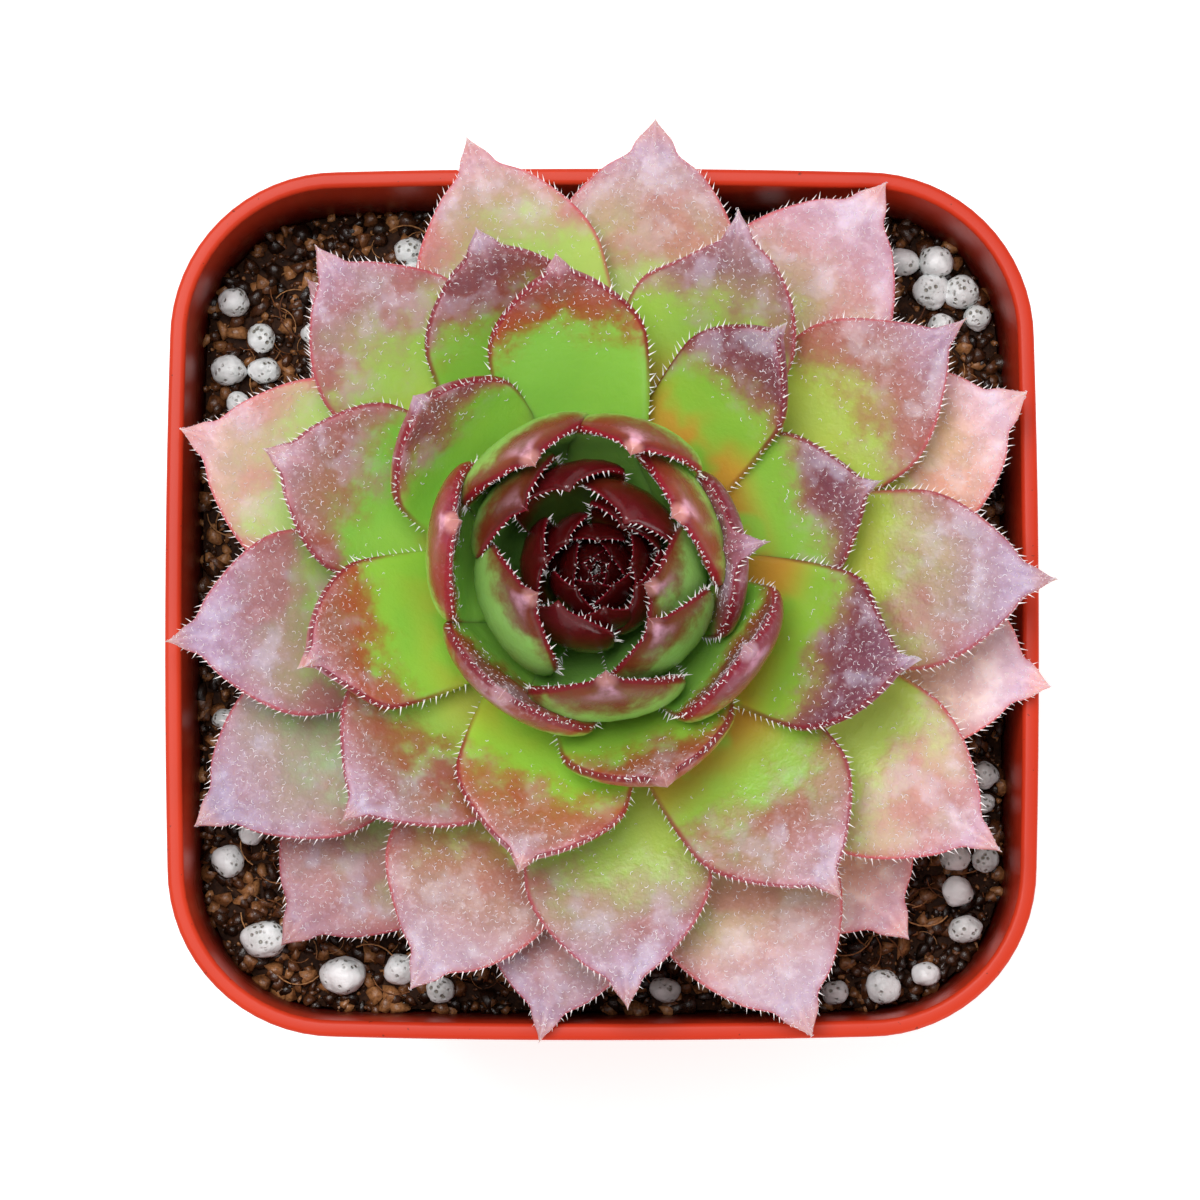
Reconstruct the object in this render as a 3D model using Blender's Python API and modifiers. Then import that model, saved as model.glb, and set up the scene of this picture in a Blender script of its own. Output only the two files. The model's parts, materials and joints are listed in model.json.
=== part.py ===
"""Potted houseleek: a rosette of pointed leaves, turned by the golden angle, in a small square pot.

Metres, +Z up. The origin is the middle of the pot's underside, on the surface that the pot stands on.
Run it with blender --background --python part.py, or from Blender's text editor.
"""

import math
import random

import bmesh
import bpy
import numpy as np
from mathutils import Matrix, Vector, noise

MM = 0.001
GAP = 0.3 * MM

# Pot, outside sizes. Its sides bow out a little between round corners, and a thick collar stiffens its rim.
POT_WIDTH = 54.6 * MM
POT_HEIGHT = 50.0 * MM
POT_CORNER = 10.6 * MM
POT_BASE_WIDTH = 43.0 * MM
POT_BASE_CORNER = 7.5 * MM
POT_BOW = 0.22 * MM
POT_WALL = 0.9 * MM
POT_FLOOR = 1.4 * MM
FOOT_CHAMFER = 0.6 * MM
COLLAR_DEPTH = 7.0 * MM
COLLAR_WALL = 1.25 * MM
COLLAR_DRAFT = 0.25 * MM
LIP_WIDTH = 1.05 * MM
LIP_ROUND = 0.2 * MM
CORNER_STEPS = 6
SIDE_STEPS = 3

# Round drain holes in the pot's floor, each with a groove that leads under the wall at its corner.
DRAIN_RADIUS = 2.3 * MM
DRAIN_OFFSET = 10.0 * MM
DRAIN_SIDES = 16
GROOVE_WIDTH = 2.4 * MM
GROOVE_DEPTH = 0.7 * MM
GROOVE_LENGTH = 24.0 * MM

# Potting mix. It lies below the rim and rises gently towards the plant.
SOIL_BELOW_RIM = 7.6 * MM
SOIL_RISE = 0.4 * MM
SOIL_RISE_RADIUS = 13.0 * MM
SOIL_LUMP = 0.4 * MM
SOIL_LUMP_SIZE = 5.0 * MM
SOIL_RING_SHARES = (1.0, 0.95, 0.88, 0.79, 0.68, 0.55, 0.40, 0.22)
STEM_HOLE_RADIUS = 3.5 * MM
STEM_HOLE_DEPTH = 12.0 * MM
STEM_HOLE_SIDES = 16

# Perlite grains that lie where the leaves leave the mix in view: x, y and diameter in millimetres.
GRAIN_SINK = 0.25
GRAIN_ROUGHNESS = 0.14
GRAIN_SEED = 7
GRAINS_MM = (
    (-23.7, 19.8, 2.0),
    (-21.9, 17.5, 1.8),
    (-24.0, 15.4, 2.3),
    (-21.7, 15.4, 2.1),
    (-20.6, 13.2, 2.1),
    (-23.4, 13.3, 1.5),
    (-18.4, 17.8, 1.8),
    (-12.3, 23.1, 2.1),
    (-12.1, 21.6, 1.8),
    (10.9, 25.0, 2.2),
    (19.4, 22.4, 2.2),
    (22.0, 23.0, 2.3),
    (21.2, 20.6, 2.3),
    (23.5, 20.7, 2.4),
    (21.8, 18.4, 1.7),
    (24.9, 19.1, 1.8),
    (24.7, -10.6, 1.7),
    (24.4, -12.4, 1.5),
    (22.6, -15.9, 2.0),
    (24.7, -16.0, 1.7),
    (22.7, -18.0, 2.0),
    (23.4, -20.6, 2.2),
    (21.0, -23.8, 1.8),
    (18.1, -24.9, 2.2),
    (14.9, -25.5, 1.7),
    (4.0, -25.1, 2.0),
    (-10.3, -24.3, 1.8),
    (-12.9, -23.0, 2.0),
    (-16.5, -23.4, 2.9),
    (-21.5, -21.1, 3.0),
    (-23.9, -16.1, 2.1),
    (-22.4, -14.3, 1.6),
    (-24.2, -7.0, 1.6),
    (-1.2, -24.4, 1.6),
)

# The plant's axis, and how its leaves turn round it, clockwise seen from above.
PLANT_X = -0.3 * MM
PLANT_Y = 1.4 * MM
GOLDEN_ANGLE = 137.5
FIRST_AZIMUTH = 229.0
LEAF_COUNT = 62
FIRST_HEART_LEAF = 46

# How a leaf changes with its number, from the outermost, 0, to the last in the heart. The pitches are degrees
# above the horizontal, and the last row is the radius of the cup that a leaf bends into across its width.
LEAF_NUMBER = (0, 8, 14, 20, 24, 28, 32, 36, 40, 45, 46, 50, 55, 61)
REACH_MM = (29.5, 29.2, 28.6, 27.6, 23.0, 20.0, 14.5, 9.3, 6.6, 5.2, 4.2, 3.2, 1.9, 0.6)
TIP_HEIGHT_MM = (49.2, 52.0, 54.4, 57.0, 58.8, 60.6, 62.8, 64.6, 65.6, 65.2, 63.2, 62.2, 61.0, 60.0)
ROOT_HEIGHT_MM = (44.6, 46.2, 47.6, 49.0, 49.9, 50.7, 51.5, 52.2, 52.9, 53.6, 55.6, 56.2, 56.8, 57.4)
WIDTH_MM = (10.9, 11.0, 11.2, 11.4, 11.2, 11.0, 10.6, 10.2, 9.8, 8.2, 7.0, 5.2, 3.3, 1.9)
THICKNESS_MM = (2.3, 2.4, 2.5, 2.6, 2.6, 2.6, 2.5, 2.3, 2.1, 1.7, 1.3, 1.1, 0.9, 0.8)
ROOT_PITCH = (4, 7, 11, 16, 20, 23, 25, 25, 25, 30, 45, 50, 60, 75)
TIP_PITCH = (16, 16, 18, 24, 34, 48, 74, 104, 122, 128, 122, 120, 112, 100)
HANDLE_SHARE = (0.33, 0.33, 0.33, 0.34, 0.35, 0.38, 0.42, 0.48, 0.52, 0.50, 0.42, 0.40, 0.36, 0.33)
CUP_RADIUS_MM = (40, 36, 30, 22, 19, 17, 15, 13, 11, 8.0, 5.2, 3.8, 2.4, 1.2)

# Where the living plant departs from the rule, by leaf number. turn (degrees round the axis), roll (degrees
# about the rib, at the tip), reach, lift, swerve (the whole leaf, sideways), hook (its point, sideways) and
# flick (its point, outwards) in mm, width and point (how drawn out it is) as factors, and form, the number
# whose curves the leaf follows in place of its own.
DEPARTURES = {
    0: {"reach": 0.9, "lift": -1.5, "width": 1.15, "point": 0.85},
    1: {"reach": -12.0, "lift": -1.5},
    2: {"turn": -3, "reach": 0.5, "lift": -1.5, "width": 1.2, "point": 0.85},
    3: {"reach": -11.5, "lift": -1.2},
    4: {"turn": 15, "reach": 1.7, "lift": 0.2, "width": 1.12, "point": 0.85},
    5: {"turn": 2.5, "lift": 0.2, "width": 1.08, "hook": -0.6},
    6: {"turn": 10, "reach": -2.8, "lift": -0.8},
    7: {"width": 1.18, "point": 0.85},
    8: {"turn": 2, "reach": 0.4, "width": 1.06, "point": 0.85, "hook": 0.4},
    9: {"turn": 10.5, "lift": 0.1, "width": 1.12, "point": 0.8, "hook": 0.4},
    10: {"turn": 1, "reach": 2.6, "width": 1.1, "point": 0.8},
    11: {"turn": 4, "reach": -1.2, "lift": 0.3, "width": 1.15, "point": 0.95},
    12: {"turn": 2.9, "reach": 0.4, "width": 1.1, "point": 0.8, "hook": 0.7},
    13: {"turn": 6, "reach": -0.5, "width": 1.05, "point": 0.85, "hook": -0.9},
    14: {"turn": 2, "lift": 0.4, "width": 1.08, "point": 0.9, "hook": 0.3},
    15: {"turn": -1, "reach": 2.0, "width": 1.03},
    16: {"reach": -1.2, "lift": 0.5, "width": 1.05},
    17: {"turn": -17.5, "reach": -0.2, "lift": 1.2, "width": 0.97, "point": 1.2, "hook": 0.3},
    18: {"reach": -0.9, "lift": 0.3, "width": 1.04},
    19: {"turn": -4.7, "reach": -1.0, "lift": 0.8, "hook": -0.5},
    20: {"reach": 0.8, "lift": 0.6},
    21: {"turn": 3, "reach": -4.3, "width": 1.04, "point": 1.2},
    22: {"turn": -19, "reach": -1.4, "lift": 0.5, "width": 0.98, "hook": 1.6},
    23: {"reach": 1.0, "lift": 0.8, "width": 1.02, "point": 1.1},
    24: {"turn": -9, "reach": -1.2},
    25: {"turn": -14, "reach": -4.0, "lift": -0.6, "width": 0.92, "point": 1.25},
    26: {"turn": 1.5, "reach": -2.4, "point": 1.1},
    27: {"turn": -7, "reach": 1.4, "lift": -0.6, "width": 1.02, "point": 0.9},
    28: {"turn": 1.5, "reach": 0.3, "lift": 1.0, "width": 0.95, "point": 1.25, "hook": 1.3},
    29: {"turn": -5.5, "reach": 0.4, "width": 0.88, "point": 1.15, "hook": 1.0},
    30: {"turn": -9, "reach": 1.4, "width": 0.76, "point": 1.3, "swerve": -0.8, "roll": -20},
    31: {"turn": 1, "reach": -2.1, "width": 1.06},
    32: {"turn": -8, "reach": 0.3, "swerve": -1.0},
    33: {"turn": -4, "reach": -4.6, "flick": 2.0},
    34: {"reach": -2.2, "width": 1.1},
    35: {"turn": 1, "form": 29, "reach": 0.4, "lift": 1.4, "width": 0.92},
    36: {"turn": 4, "reach": 0.9, "swerve": 1.4},
    37: {"turn": -8, "swerve": -1.6},
    38: {"turn": -13, "reach": -2.6},
    39: {"turn": 8, "reach": -0.6},
    40: {"turn": -6, "reach": 0.3},
    41: {"turn": -8, "reach": -3.2, "lift": -1.0, "width": 0.9, "swerve": -0.5},
    42: {"turn": -6, "reach": -2.0},
    43: {"turn": -4, "reach": 1.0},
    44: {"turn": 13, "reach": -0.9},
    45: {"turn": -18},
    46: {"turn": 32, "reach": -1.1, "lift": 0.3},
    47: {"reach": -0.8, "swerve": -1.3},
    48: {"turn": 2, "reach": 1.2, "lift": 0.8, "width": 1.2},
    49: {"reach": -0.7, "lift": -1.0},
    50: {"turn": -20},
}

# One leaf's shape, as shares of its length or its width.
ROOT_RADIUS = 1.2 * MM
ROOT_WIDTH_SHARE = 0.40
WIDEST_AT = 0.68
HOOK_AT = 0.75
POINT_AT = 0.9
POINT_ROUNDING = 2.0
POINT_HOLLOW = 1.6
THINNING_AT = 0.55
THINNING = 0.72
UPPER_SHARE = 0.32
MARGIN_ROUNDING = 0.8
LEAF_STATIONS = (0.0, 0.22, 0.42, 0.58, 0.70, 0.80, 0.88, 0.95)
LEAF_SIDES = 8
HEART_STATIONS = (0.0, 0.36, 0.63, 0.82, 0.93)
HEART_SIDES = 6
RIB_STEPS = 48

# The stem: a root stub in the mix, and above it the crown that the leaves grow from, radius and height.
STEM_PROFILE_MM = (
    (0.0, 55.2),
    (2.6, 54.9),
    (4.6, 53.6),
    (5.4, 51.5),
    (5.0, 49.0),
    (3.9, 46.6),
    (3.0, 44.8),
    (2.6, 40.0),
    (1.6, 33.6),
    (0.9, 32.2),
    (0.0, 32.0),
)
HEART_PROFILE_MM = (
    (0.0, 59.0),
    (1.4, 58.4),
    (2.2, 57.2),
    (2.0, 56.0),
    (1.2, 55.6),
    (0.0, 55.6),
)
TURN_STEPS = 14


def clear_scene():
    for obj in list(bpy.data.objects):
        bpy.data.objects.remove(obj)


def new_collection(name):
    collection = bpy.data.collections.new(name)
    bpy.context.scene.collection.children.link(collection)
    return collection


def new_material(name, colour, roughness):
    material = bpy.data.materials.new(name)
    material.use_nodes = True
    shader = material.node_tree.nodes["Principled BSDF"]
    shader.inputs["Base Color"].default_value = (*colour, 1.0)
    shader.inputs["Roughness"].default_value = roughness
    shader.inputs["Metallic"].default_value = 0.0
    material.diffuse_color = (*colour, 1.0)
    return material


def new_object(name, mesh, collection, material=None):
    obj = bpy.data.objects.new(name, mesh)
    collection.objects.link(obj)
    if material:
        mesh.materials.clear()
        mesh.materials.append(material)
    return obj


def mesh_from(name, bm):
    """A mesh of triangles, so that a waved face is split the same way everywhere, facing out."""
    bmesh.ops.triangulate(bm, faces=bm.faces)
    bmesh.ops.recalc_face_normals(bm, faces=bm.faces)
    mesh = bpy.data.meshes.new(name)
    bm.to_mesh(mesh)
    bm.free()
    return mesh


def loft(name, rings, first_cap, last_cap):
    """A closed skin through rings of equal length. A cap is the point that its ring runs to, or None."""
    bm = bmesh.new()
    loops = [[bm.verts.new(point) for point in ring] for ring in rings]
    for lower, upper in zip(loops, loops[1:]):
        for i in range(len(lower)):
            j = (i + 1) % len(lower)
            bm.faces.new((lower[i], lower[j], upper[j], upper[i]))
    for loop, cap in ((loops[0], first_cap), (loops[-1], last_cap)):
        if cap is None:
            bm.faces.new(loop)
            continue
        pole = bm.verts.new(cap)
        for i in range(len(loop)):
            bm.faces.new((loop[i], loop[(i + 1) % len(loop)], pole))
    return mesh_from(name, bm)


def evaluated_mesh(obj):
    graph = bpy.context.evaluated_depsgraph_get()
    return bpy.data.meshes.new_from_object(obj.evaluated_get(graph))


def cut(obj, cutters):
    """Takes the cutters away from a closed object, one at a time."""
    for cutter in cutters:
        modifier = obj.modifiers.new(cutter.name, "BOOLEAN")
        modifier.operation = "DIFFERENCE"
        modifier.solver = "EXACT"
        modifier.object = cutter
        cutter.hide_render = True
        cutter.display_type = "WIRE"


def join_all(name, base, repeats, collection, material):
    """One solid of a base and the repeats that grow from it, without its sealed hollows and loose scraps."""
    modifier = base.modifiers.new("join", "BOOLEAN")
    modifier.operation = "UNION"
    modifier.solver = "EXACT"
    modifier.operand_type = "COLLECTION"
    modifier.collection = repeats
    mesh = evaluated_mesh(base)
    for obj in [base, *repeats.objects]:
        bpy.data.objects.remove(obj)
    bpy.data.collections.remove(repeats)
    keep_largest_island(mesh)
    return new_object(name, mesh, collection, material)


def keep_largest_island(mesh):
    bm = bmesh.new()
    bm.from_mesh(mesh)
    unseen = set(bm.verts)
    islands = []
    while unseen:
        island = [unseen.pop()]
        for vert in island:
            for edge in vert.link_edges:
                other = edge.other_vert(vert)
                if other in unseen:
                    unseen.remove(other)
                    island.append(other)
        islands.append(island)
    islands.sort(key=len)
    for island in islands[:-1]:
        bmesh.ops.delete(bm, geom=island, context="VERTS")
    bmesh.ops.triangulate(bm, faces=bm.faces)
    bm.to_mesh(mesh)
    bm.free()


def rounded_square(half, corner, bow, height):
    """Points round a square with arcs for corners and sides that bow out, anticlockwise from the +X side."""
    points = []
    straight = 2 * (half - corner)
    for quarter in range(4):
        turn = Matrix.Rotation(quarter * math.pi / 2, 3, "Z")
        for step in range(CORNER_STEPS + 1):
            angle = math.pi / 2 * step / CORNER_STEPS
            arc = Vector((math.cos(angle), math.sin(angle), 0)) * corner
            points.append(turn @ (Vector((half - corner, half - corner, 0)) + arc))
        for step in range(1, SIDE_STEPS):
            share = step / SIDE_STEPS
            along = half - corner - straight * share
            points.append(turn @ Vector((along, half + bow * 4 * share * (1 - share), 0)))
    return [point + Vector((0, 0, height)) for point in points]


def body_half_width(height):
    """Half the width inside the pot at a height: nearly upright in the collar, and tapered below it."""
    collar_bottom = POT_HEIGHT - COLLAR_DEPTH
    under_collar = POT_WIDTH / 2 - COLLAR_DRAFT - COLLAR_WALL
    if height > collar_bottom:
        share = (height - collar_bottom) / COLLAR_DEPTH
        return under_collar * (1 - share) + (POT_WIDTH / 2 - LIP_WIDTH) * share
    share = height / collar_bottom
    return (POT_BASE_WIDTH / 2 - POT_WALL) * (1 - share) + under_collar * share


def wall_corner(height):
    """The corner radius of the pot's inner face at a height."""
    share = height / POT_HEIGHT
    return (POT_BASE_CORNER - POT_WALL) * (1 - share) + (POT_CORNER - LIP_WIDTH) * share


def pot_ring(out, height):
    """A ring round the pot at a height, moved out from its inner face. A negative value moves it in."""
    bow = POT_BOW * height / POT_HEIGHT
    return rounded_square(body_half_width(height) + out, wall_corner(height) + out, bow, height)


def make_pot(collection, cutters):
    collar_bottom = POT_HEIGHT - COLLAR_DEPTH
    rings = [
        pot_ring(POT_WALL - FOOT_CHAMFER, 0.0),
        pot_ring(POT_WALL, FOOT_CHAMFER),
        pot_ring(POT_WALL, collar_bottom),
        pot_ring(COLLAR_WALL, collar_bottom + LIP_ROUND),
        pot_ring(LIP_WIDTH, POT_HEIGHT - LIP_ROUND),
        pot_ring(LIP_WIDTH - LIP_ROUND, POT_HEIGHT),
        pot_ring(LIP_ROUND, POT_HEIGHT),
        pot_ring(0.0, POT_HEIGHT - LIP_ROUND),
        pot_ring(0.0, collar_bottom),
        pot_ring(0.0, POT_FLOOR),
    ]
    material = new_material("terracotta_plastic", (0.72, 0.10, 0.045), 0.38)
    pot = new_object("pot", loft("pot", rings, None, None), collection, material)
    cut(pot, drain_cutters(cutters))
    return pot


def drain_cutters(cutters):
    found = []
    for quarter in range(4):
        turn = Matrix.Rotation(math.pi / 4 + quarter * math.pi / 2, 4, "Z")
        bm = bmesh.new()
        hole = turn @ Matrix.Translation((DRAIN_OFFSET * math.sqrt(2), 0, 0))
        bmesh.ops.create_cone(
            bm,
            cap_ends=True,
            segments=DRAIN_SIDES,
            radius1=DRAIN_RADIUS,
            radius2=DRAIN_RADIUS,
            depth=4 * POT_FLOOR,
            matrix=hole,
        )
        found.append(new_object(f"drain_hole_{quarter}", mesh_from("drain_hole", bm), cutters))
        bm = bmesh.new()
        middle = DRAIN_OFFSET * math.sqrt(2) + GROOVE_LENGTH / 2
        groove = turn @ Matrix.Translation((middle, 0, 0))
        size = Matrix.Diagonal((GROOVE_LENGTH, GROOVE_WIDTH, 2 * GROOVE_DEPTH, 1))
        bmesh.ops.create_cube(bm, size=1.0, matrix=groove @ size)
        found.append(new_object(f"drain_groove_{quarter}", mesh_from("drain_groove", bm), cutters))
    return found


def soil_height(x, y):
    """Height of the potting mix: level near the wall, with a rise at the plant and low lumps."""
    rise = SOIL_RISE * math.exp(-((x - PLANT_X) ** 2 + (y - PLANT_Y) ** 2) / SOIL_RISE_RADIUS**2)
    lump = SOIL_LUMP * noise.noise(Vector((x, y, 0)) / SOIL_LUMP_SIZE)
    return POT_HEIGHT - SOIL_BELOW_RIM + rise + lump


def soil_top_ring(share, outer):
    """A ring of the mix's top, at a share of the way from the plant's axis to the outer ring."""
    ring = []
    for point in outer:
        x = PLANT_X + (point.x - PLANT_X) * share
        y = PLANT_Y + (point.y - PLANT_Y) * share
        ring.append(Vector((x, y, soil_height(x, y))))
    return ring


def make_soil(collection, cutters):
    level = POT_HEIGHT - SOIL_BELOW_RIM
    edge = pot_ring(-GAP, level)
    rings = [pot_ring(-GAP, POT_FLOOR + GAP), pot_ring(-GAP, level - 2 * SOIL_LUMP)]
    rings += [soil_top_ring(share, edge) for share in SOIL_RING_SHARES]
    middle = Vector((PLANT_X, PLANT_Y, soil_height(PLANT_X, PLANT_Y)))
    base = new_object("soil_base", loft("soil", rings, None, middle), collection)
    grains = new_collection("grains")
    add_grains(grains)
    material = new_material("potting_mix", (0.045, 0.028, 0.018), 0.95)
    soil = join_all("soil", base, grains, collection, material)
    cut(soil, [stem_hole_cutter(cutters)])
    return soil


def clear_of_wall(x, y, radius):
    """The place nearest to x, y where a grain stays clear of the pot's wall."""
    level = POT_HEIGHT - SOIL_BELOW_RIM
    corner = wall_corner(level)
    straight = body_half_width(level) - corner
    past = Vector((max(abs(x) - straight, 0), max(abs(y) - straight, 0)))
    most = corner - GAP - radius
    if past.length > most:
        past *= most / past.length
    x = math.copysign(min(abs(x), straight) + past.x, x)
    y = math.copysign(min(abs(y), straight) + past.y, y)
    return x, y


def add_grains(collection):
    """Rough white grains, sunk a little into the mix."""
    draw = random.Random(GRAIN_SEED)
    for number, (x_mm, y_mm, across_mm) in enumerate(GRAINS_MM):
        radius = across_mm * MM / 2
        x, y = clear_of_wall(x_mm * MM, y_mm * MM, radius * (1 + GRAIN_ROUGHNESS))
        place = Vector((x, y, soil_height(x, y) + radius * (1 - 2 * GRAIN_SINK)))
        bm = bmesh.new()
        bmesh.ops.create_icosphere(bm, subdivisions=1, radius=radius)
        for vert in bm.verts:
            vert.co = vert.co * (1 + draw.uniform(-GRAIN_ROUGHNESS, GRAIN_ROUGHNESS)) + place
        new_object(f"grain_{number}", mesh_from("grain", bm), collection)


def stem_hole_cutter(cutters):
    top = soil_height(PLANT_X, PLANT_Y)
    bm = bmesh.new()
    bmesh.ops.create_cone(
        bm,
        cap_ends=True,
        segments=STEM_HOLE_SIDES,
        radius1=STEM_HOLE_RADIUS,
        radius2=STEM_HOLE_RADIUS,
        depth=2 * STEM_HOLE_DEPTH,
        matrix=Matrix.Translation((PLANT_X, PLANT_Y, top)),
    )
    return new_object("stem_hole", mesh_from("stem_hole", bm), cutters)


def of_leaf(number, values):
    """The value of a rule's curve at a leaf's number."""
    return float(np.interp(number, LEAF_NUMBER, values))


def leaf_rib(number):
    """Points along the middle of a leaf, evenly spaced from its root: distance from the axis, and height."""
    departure = DEPARTURES.get(number, {})
    form = departure.get("form", number)
    reach = of_leaf(form, REACH_MM) + departure.get("reach", 0.0)
    height = of_leaf(form, TIP_HEIGHT_MM) + departure.get("lift", 0.0)
    root = np.array((ROOT_RADIUS, of_leaf(number, ROOT_HEIGHT_MM) * MM))
    tip = np.array((reach, height)) * MM
    root_angle = math.radians(of_leaf(form, ROOT_PITCH))
    tip_angle = math.radians(of_leaf(form, TIP_PITCH))
    handle = of_leaf(form, HANDLE_SHARE) * np.linalg.norm(tip - root)
    root_handle = root + handle * np.array((math.cos(root_angle), math.sin(root_angle)))
    tip_handle = tip - handle * np.array((math.cos(tip_angle), math.sin(tip_angle)))
    t = np.linspace(0, 1, RIB_STEPS + 1)[:, None]
    curve = (
        root * (1 - t) ** 3
        + root_handle * 3 * t * (1 - t) ** 2
        + tip_handle * 3 * t**2 * (1 - t)
        + tip * t**3
    )
    along = np.concatenate(([0], np.cumsum(np.linalg.norm(np.diff(curve, axis=0), axis=1))))
    even = np.linspace(0, along[-1], RIB_STEPS + 1)
    return np.stack([np.interp(even, along, curve[:, 0]), np.interp(even, along, curve[:, 1])], axis=1)


def width_share(along, point):
    """A leaf's width at a share of its length: narrow root, broad shoulders, drawn-out point."""
    if along < WIDEST_AT:
        swell = math.sin(math.pi / 2 * along / WIDEST_AT)
        return ROOT_WIDTH_SHARE + (1 - ROOT_WIDTH_SHARE) * swell
    past = (along - WIDEST_AT) / (1 - WIDEST_AT)
    return (1 - past**POINT_ROUNDING) ** (POINT_HOLLOW * point)


def past_share(along, start):
    """How far a share of a leaf's length is past a start, from 0 there to 1 at the tip."""
    return max(0.0, (along - start) / (1 - start))


def thickness_share(along):
    """A leaf's thickness at a share of its length: nearly even, thinning over the last third."""
    return 1 - THINNING * past_share(along, THINNING_AT) ** 1.6


def leaf_section(width, thickness, cup, sides):
    """One cross-section: (across, up) pairs of a lens that is flatter above and bent up at its margins."""
    section = []
    for side in range(sides):
        angle = 2 * math.pi * side / sides
        c, s = math.cos(angle), math.sin(angle)
        across = width / 2 * math.copysign(abs(c) ** MARGIN_ROUNDING, c)
        share = UPPER_SHARE if s > 0 else 1 - UPPER_SHARE
        up = thickness * share * math.copysign(abs(s) ** MARGIN_ROUNDING, s)
        bend = across / cup
        section.append(((cup - up) * math.sin(bend), cup - (cup - up) * math.cos(bend)))
    return section


def leaf_rings(number, stations, sides):
    """The rings of a leaf's skin at the stations along it, and its tip."""
    rib = leaf_rib(number)
    departure = DEPARTURES.get(number, {})
    azimuth = math.radians(FIRST_AZIMUTH - GOLDEN_ANGLE * number + departure.get("turn", 0.0))
    out = Vector((math.cos(azimuth), math.sin(azimuth), 0))
    side = Vector((-math.sin(azimuth), math.cos(azimuth), 0))
    axis = Vector((PLANT_X, PLANT_Y, 0))
    form = departure.get("form", number)
    width = of_leaf(form, WIDTH_MM) * MM * departure.get("width", 1.0)
    thickness = of_leaf(form, THICKNESS_MM) * MM
    cup = of_leaf(form, CUP_RADIUS_MM) * MM
    point = departure.get("point", 1.0)
    swerve = departure.get("swerve", 0.0) * MM
    hook = departure.get("hook", 0.0) * MM
    flick = departure.get("flick", 0.0) * MM
    shares = np.linspace(0, 1, RIB_STEPS + 1)

    def point_at(along):
        away = float(np.interp(along, shares, rib[:, 0]))
        height = float(np.interp(along, shares, rib[:, 1]))
        away += flick * past_share(along, POINT_AT) ** 1.5
        aside = swerve * along**2 + hook * past_share(along, HOOK_AT) ** 2
        return axis + out * away + side * aside + Vector((0, 0, height))

    rings = []
    for along in stations:
        centre = point_at(along)
        ahead = (point_at(min(1, along + 0.02)) - point_at(max(0, along - 0.02))).normalized()
        roll = Matrix.Rotation(math.radians(departure.get("roll", 0.0)) * along, 3, ahead)
        across = (roll @ side).normalized()
        up = ahead.cross(across).normalized()
        across = up.cross(ahead)
        wide = width * width_share(along, point)
        section = leaf_section(wide, thickness * thickness_share(along), cup, sides)
        rings.append([centre + across * a + up * u for a, u in section])
    return rings, point_at(1.0)


def make_leaf(number, stations, sides, collection):
    rings, tip = leaf_rings(number, stations, sides)
    root = sum(rings[0], Vector()) / len(rings[0])
    return new_object(f"leaf_{number}", loft("leaf", rings, root, tip), collection)


def turned(name, profile_mm, collection):
    """A solid turned round the plant's axis from a profile that runs down its outer side."""
    bm = bmesh.new()
    verts = [bm.verts.new((radius * MM, 0, height * MM)) for radius, height in profile_mm]
    for upper, lower in zip(verts, verts[1:]):
        bm.edges.new((upper, lower))
    mesh = bpy.data.meshes.new(name)
    bm.to_mesh(mesh)
    bm.free()
    obj = new_object(name, mesh, collection)
    screw = obj.modifiers.new("turn", "SCREW")
    screw.steps = TURN_STEPS
    screw.render_steps = TURN_STEPS
    screw.use_merge_vertices = True
    screw.merge_threshold = 0.00001
    solid = evaluated_mesh(obj)
    bpy.data.objects.remove(obj)
    solid.transform(Matrix.Translation((PLANT_X, PLANT_Y, 0)))
    return new_object(name, solid, collection)


def make_rosette(collection):
    leaves = new_collection("rosette_leaves")
    for number in range(FIRST_HEART_LEAF):
        make_leaf(number, LEAF_STATIONS, LEAF_SIDES, leaves)
    stem = turned("stem", STEM_PROFILE_MM, collection)
    material = new_material("green_leaf", (0.36, 0.40, 0.13), 0.5)
    return join_all("rosette", stem, leaves, collection, material)


def make_heart(collection):
    leaves = new_collection("heart_leaves")
    for number in range(FIRST_HEART_LEAF, LEAF_COUNT):
        make_leaf(number, HEART_STATIONS, HEART_SIDES, leaves)
    bud = turned("bud", HEART_PROFILE_MM, collection)
    material = new_material("wine_red_leaf", (0.12, 0.008, 0.012), 0.42)
    return join_all("heart", bud, leaves, collection, material)


def main():
    clear_scene()
    parts = new_collection("potted_houseleek")
    cutters = new_collection("cutters")
    make_pot(parts, cutters)
    make_soil(parts, cutters)
    make_rosette(parts)
    make_heart(parts)


main()
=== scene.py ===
# %% [markdown]
# # Potted houseleek
#
# A houseleek is a rosette of fleshy, pointed leaves. This one grows in dark potting mix, in a small square
# plastic pot. The script loads the solid model of the object as a fixed frame and builds the finished look
# round it, in the same place and at the same size: a smoother pot, mix made of crumbs, fibres and white
# perlite, and leaves with their colours, their white fringes and their fine hairs.

# %% Start: the frame and the tools
import json
import math
import random
from types import SimpleNamespace

import bmesh
import bpy
import numpy as np
from mathutils import Matrix, Vector, noise

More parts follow.
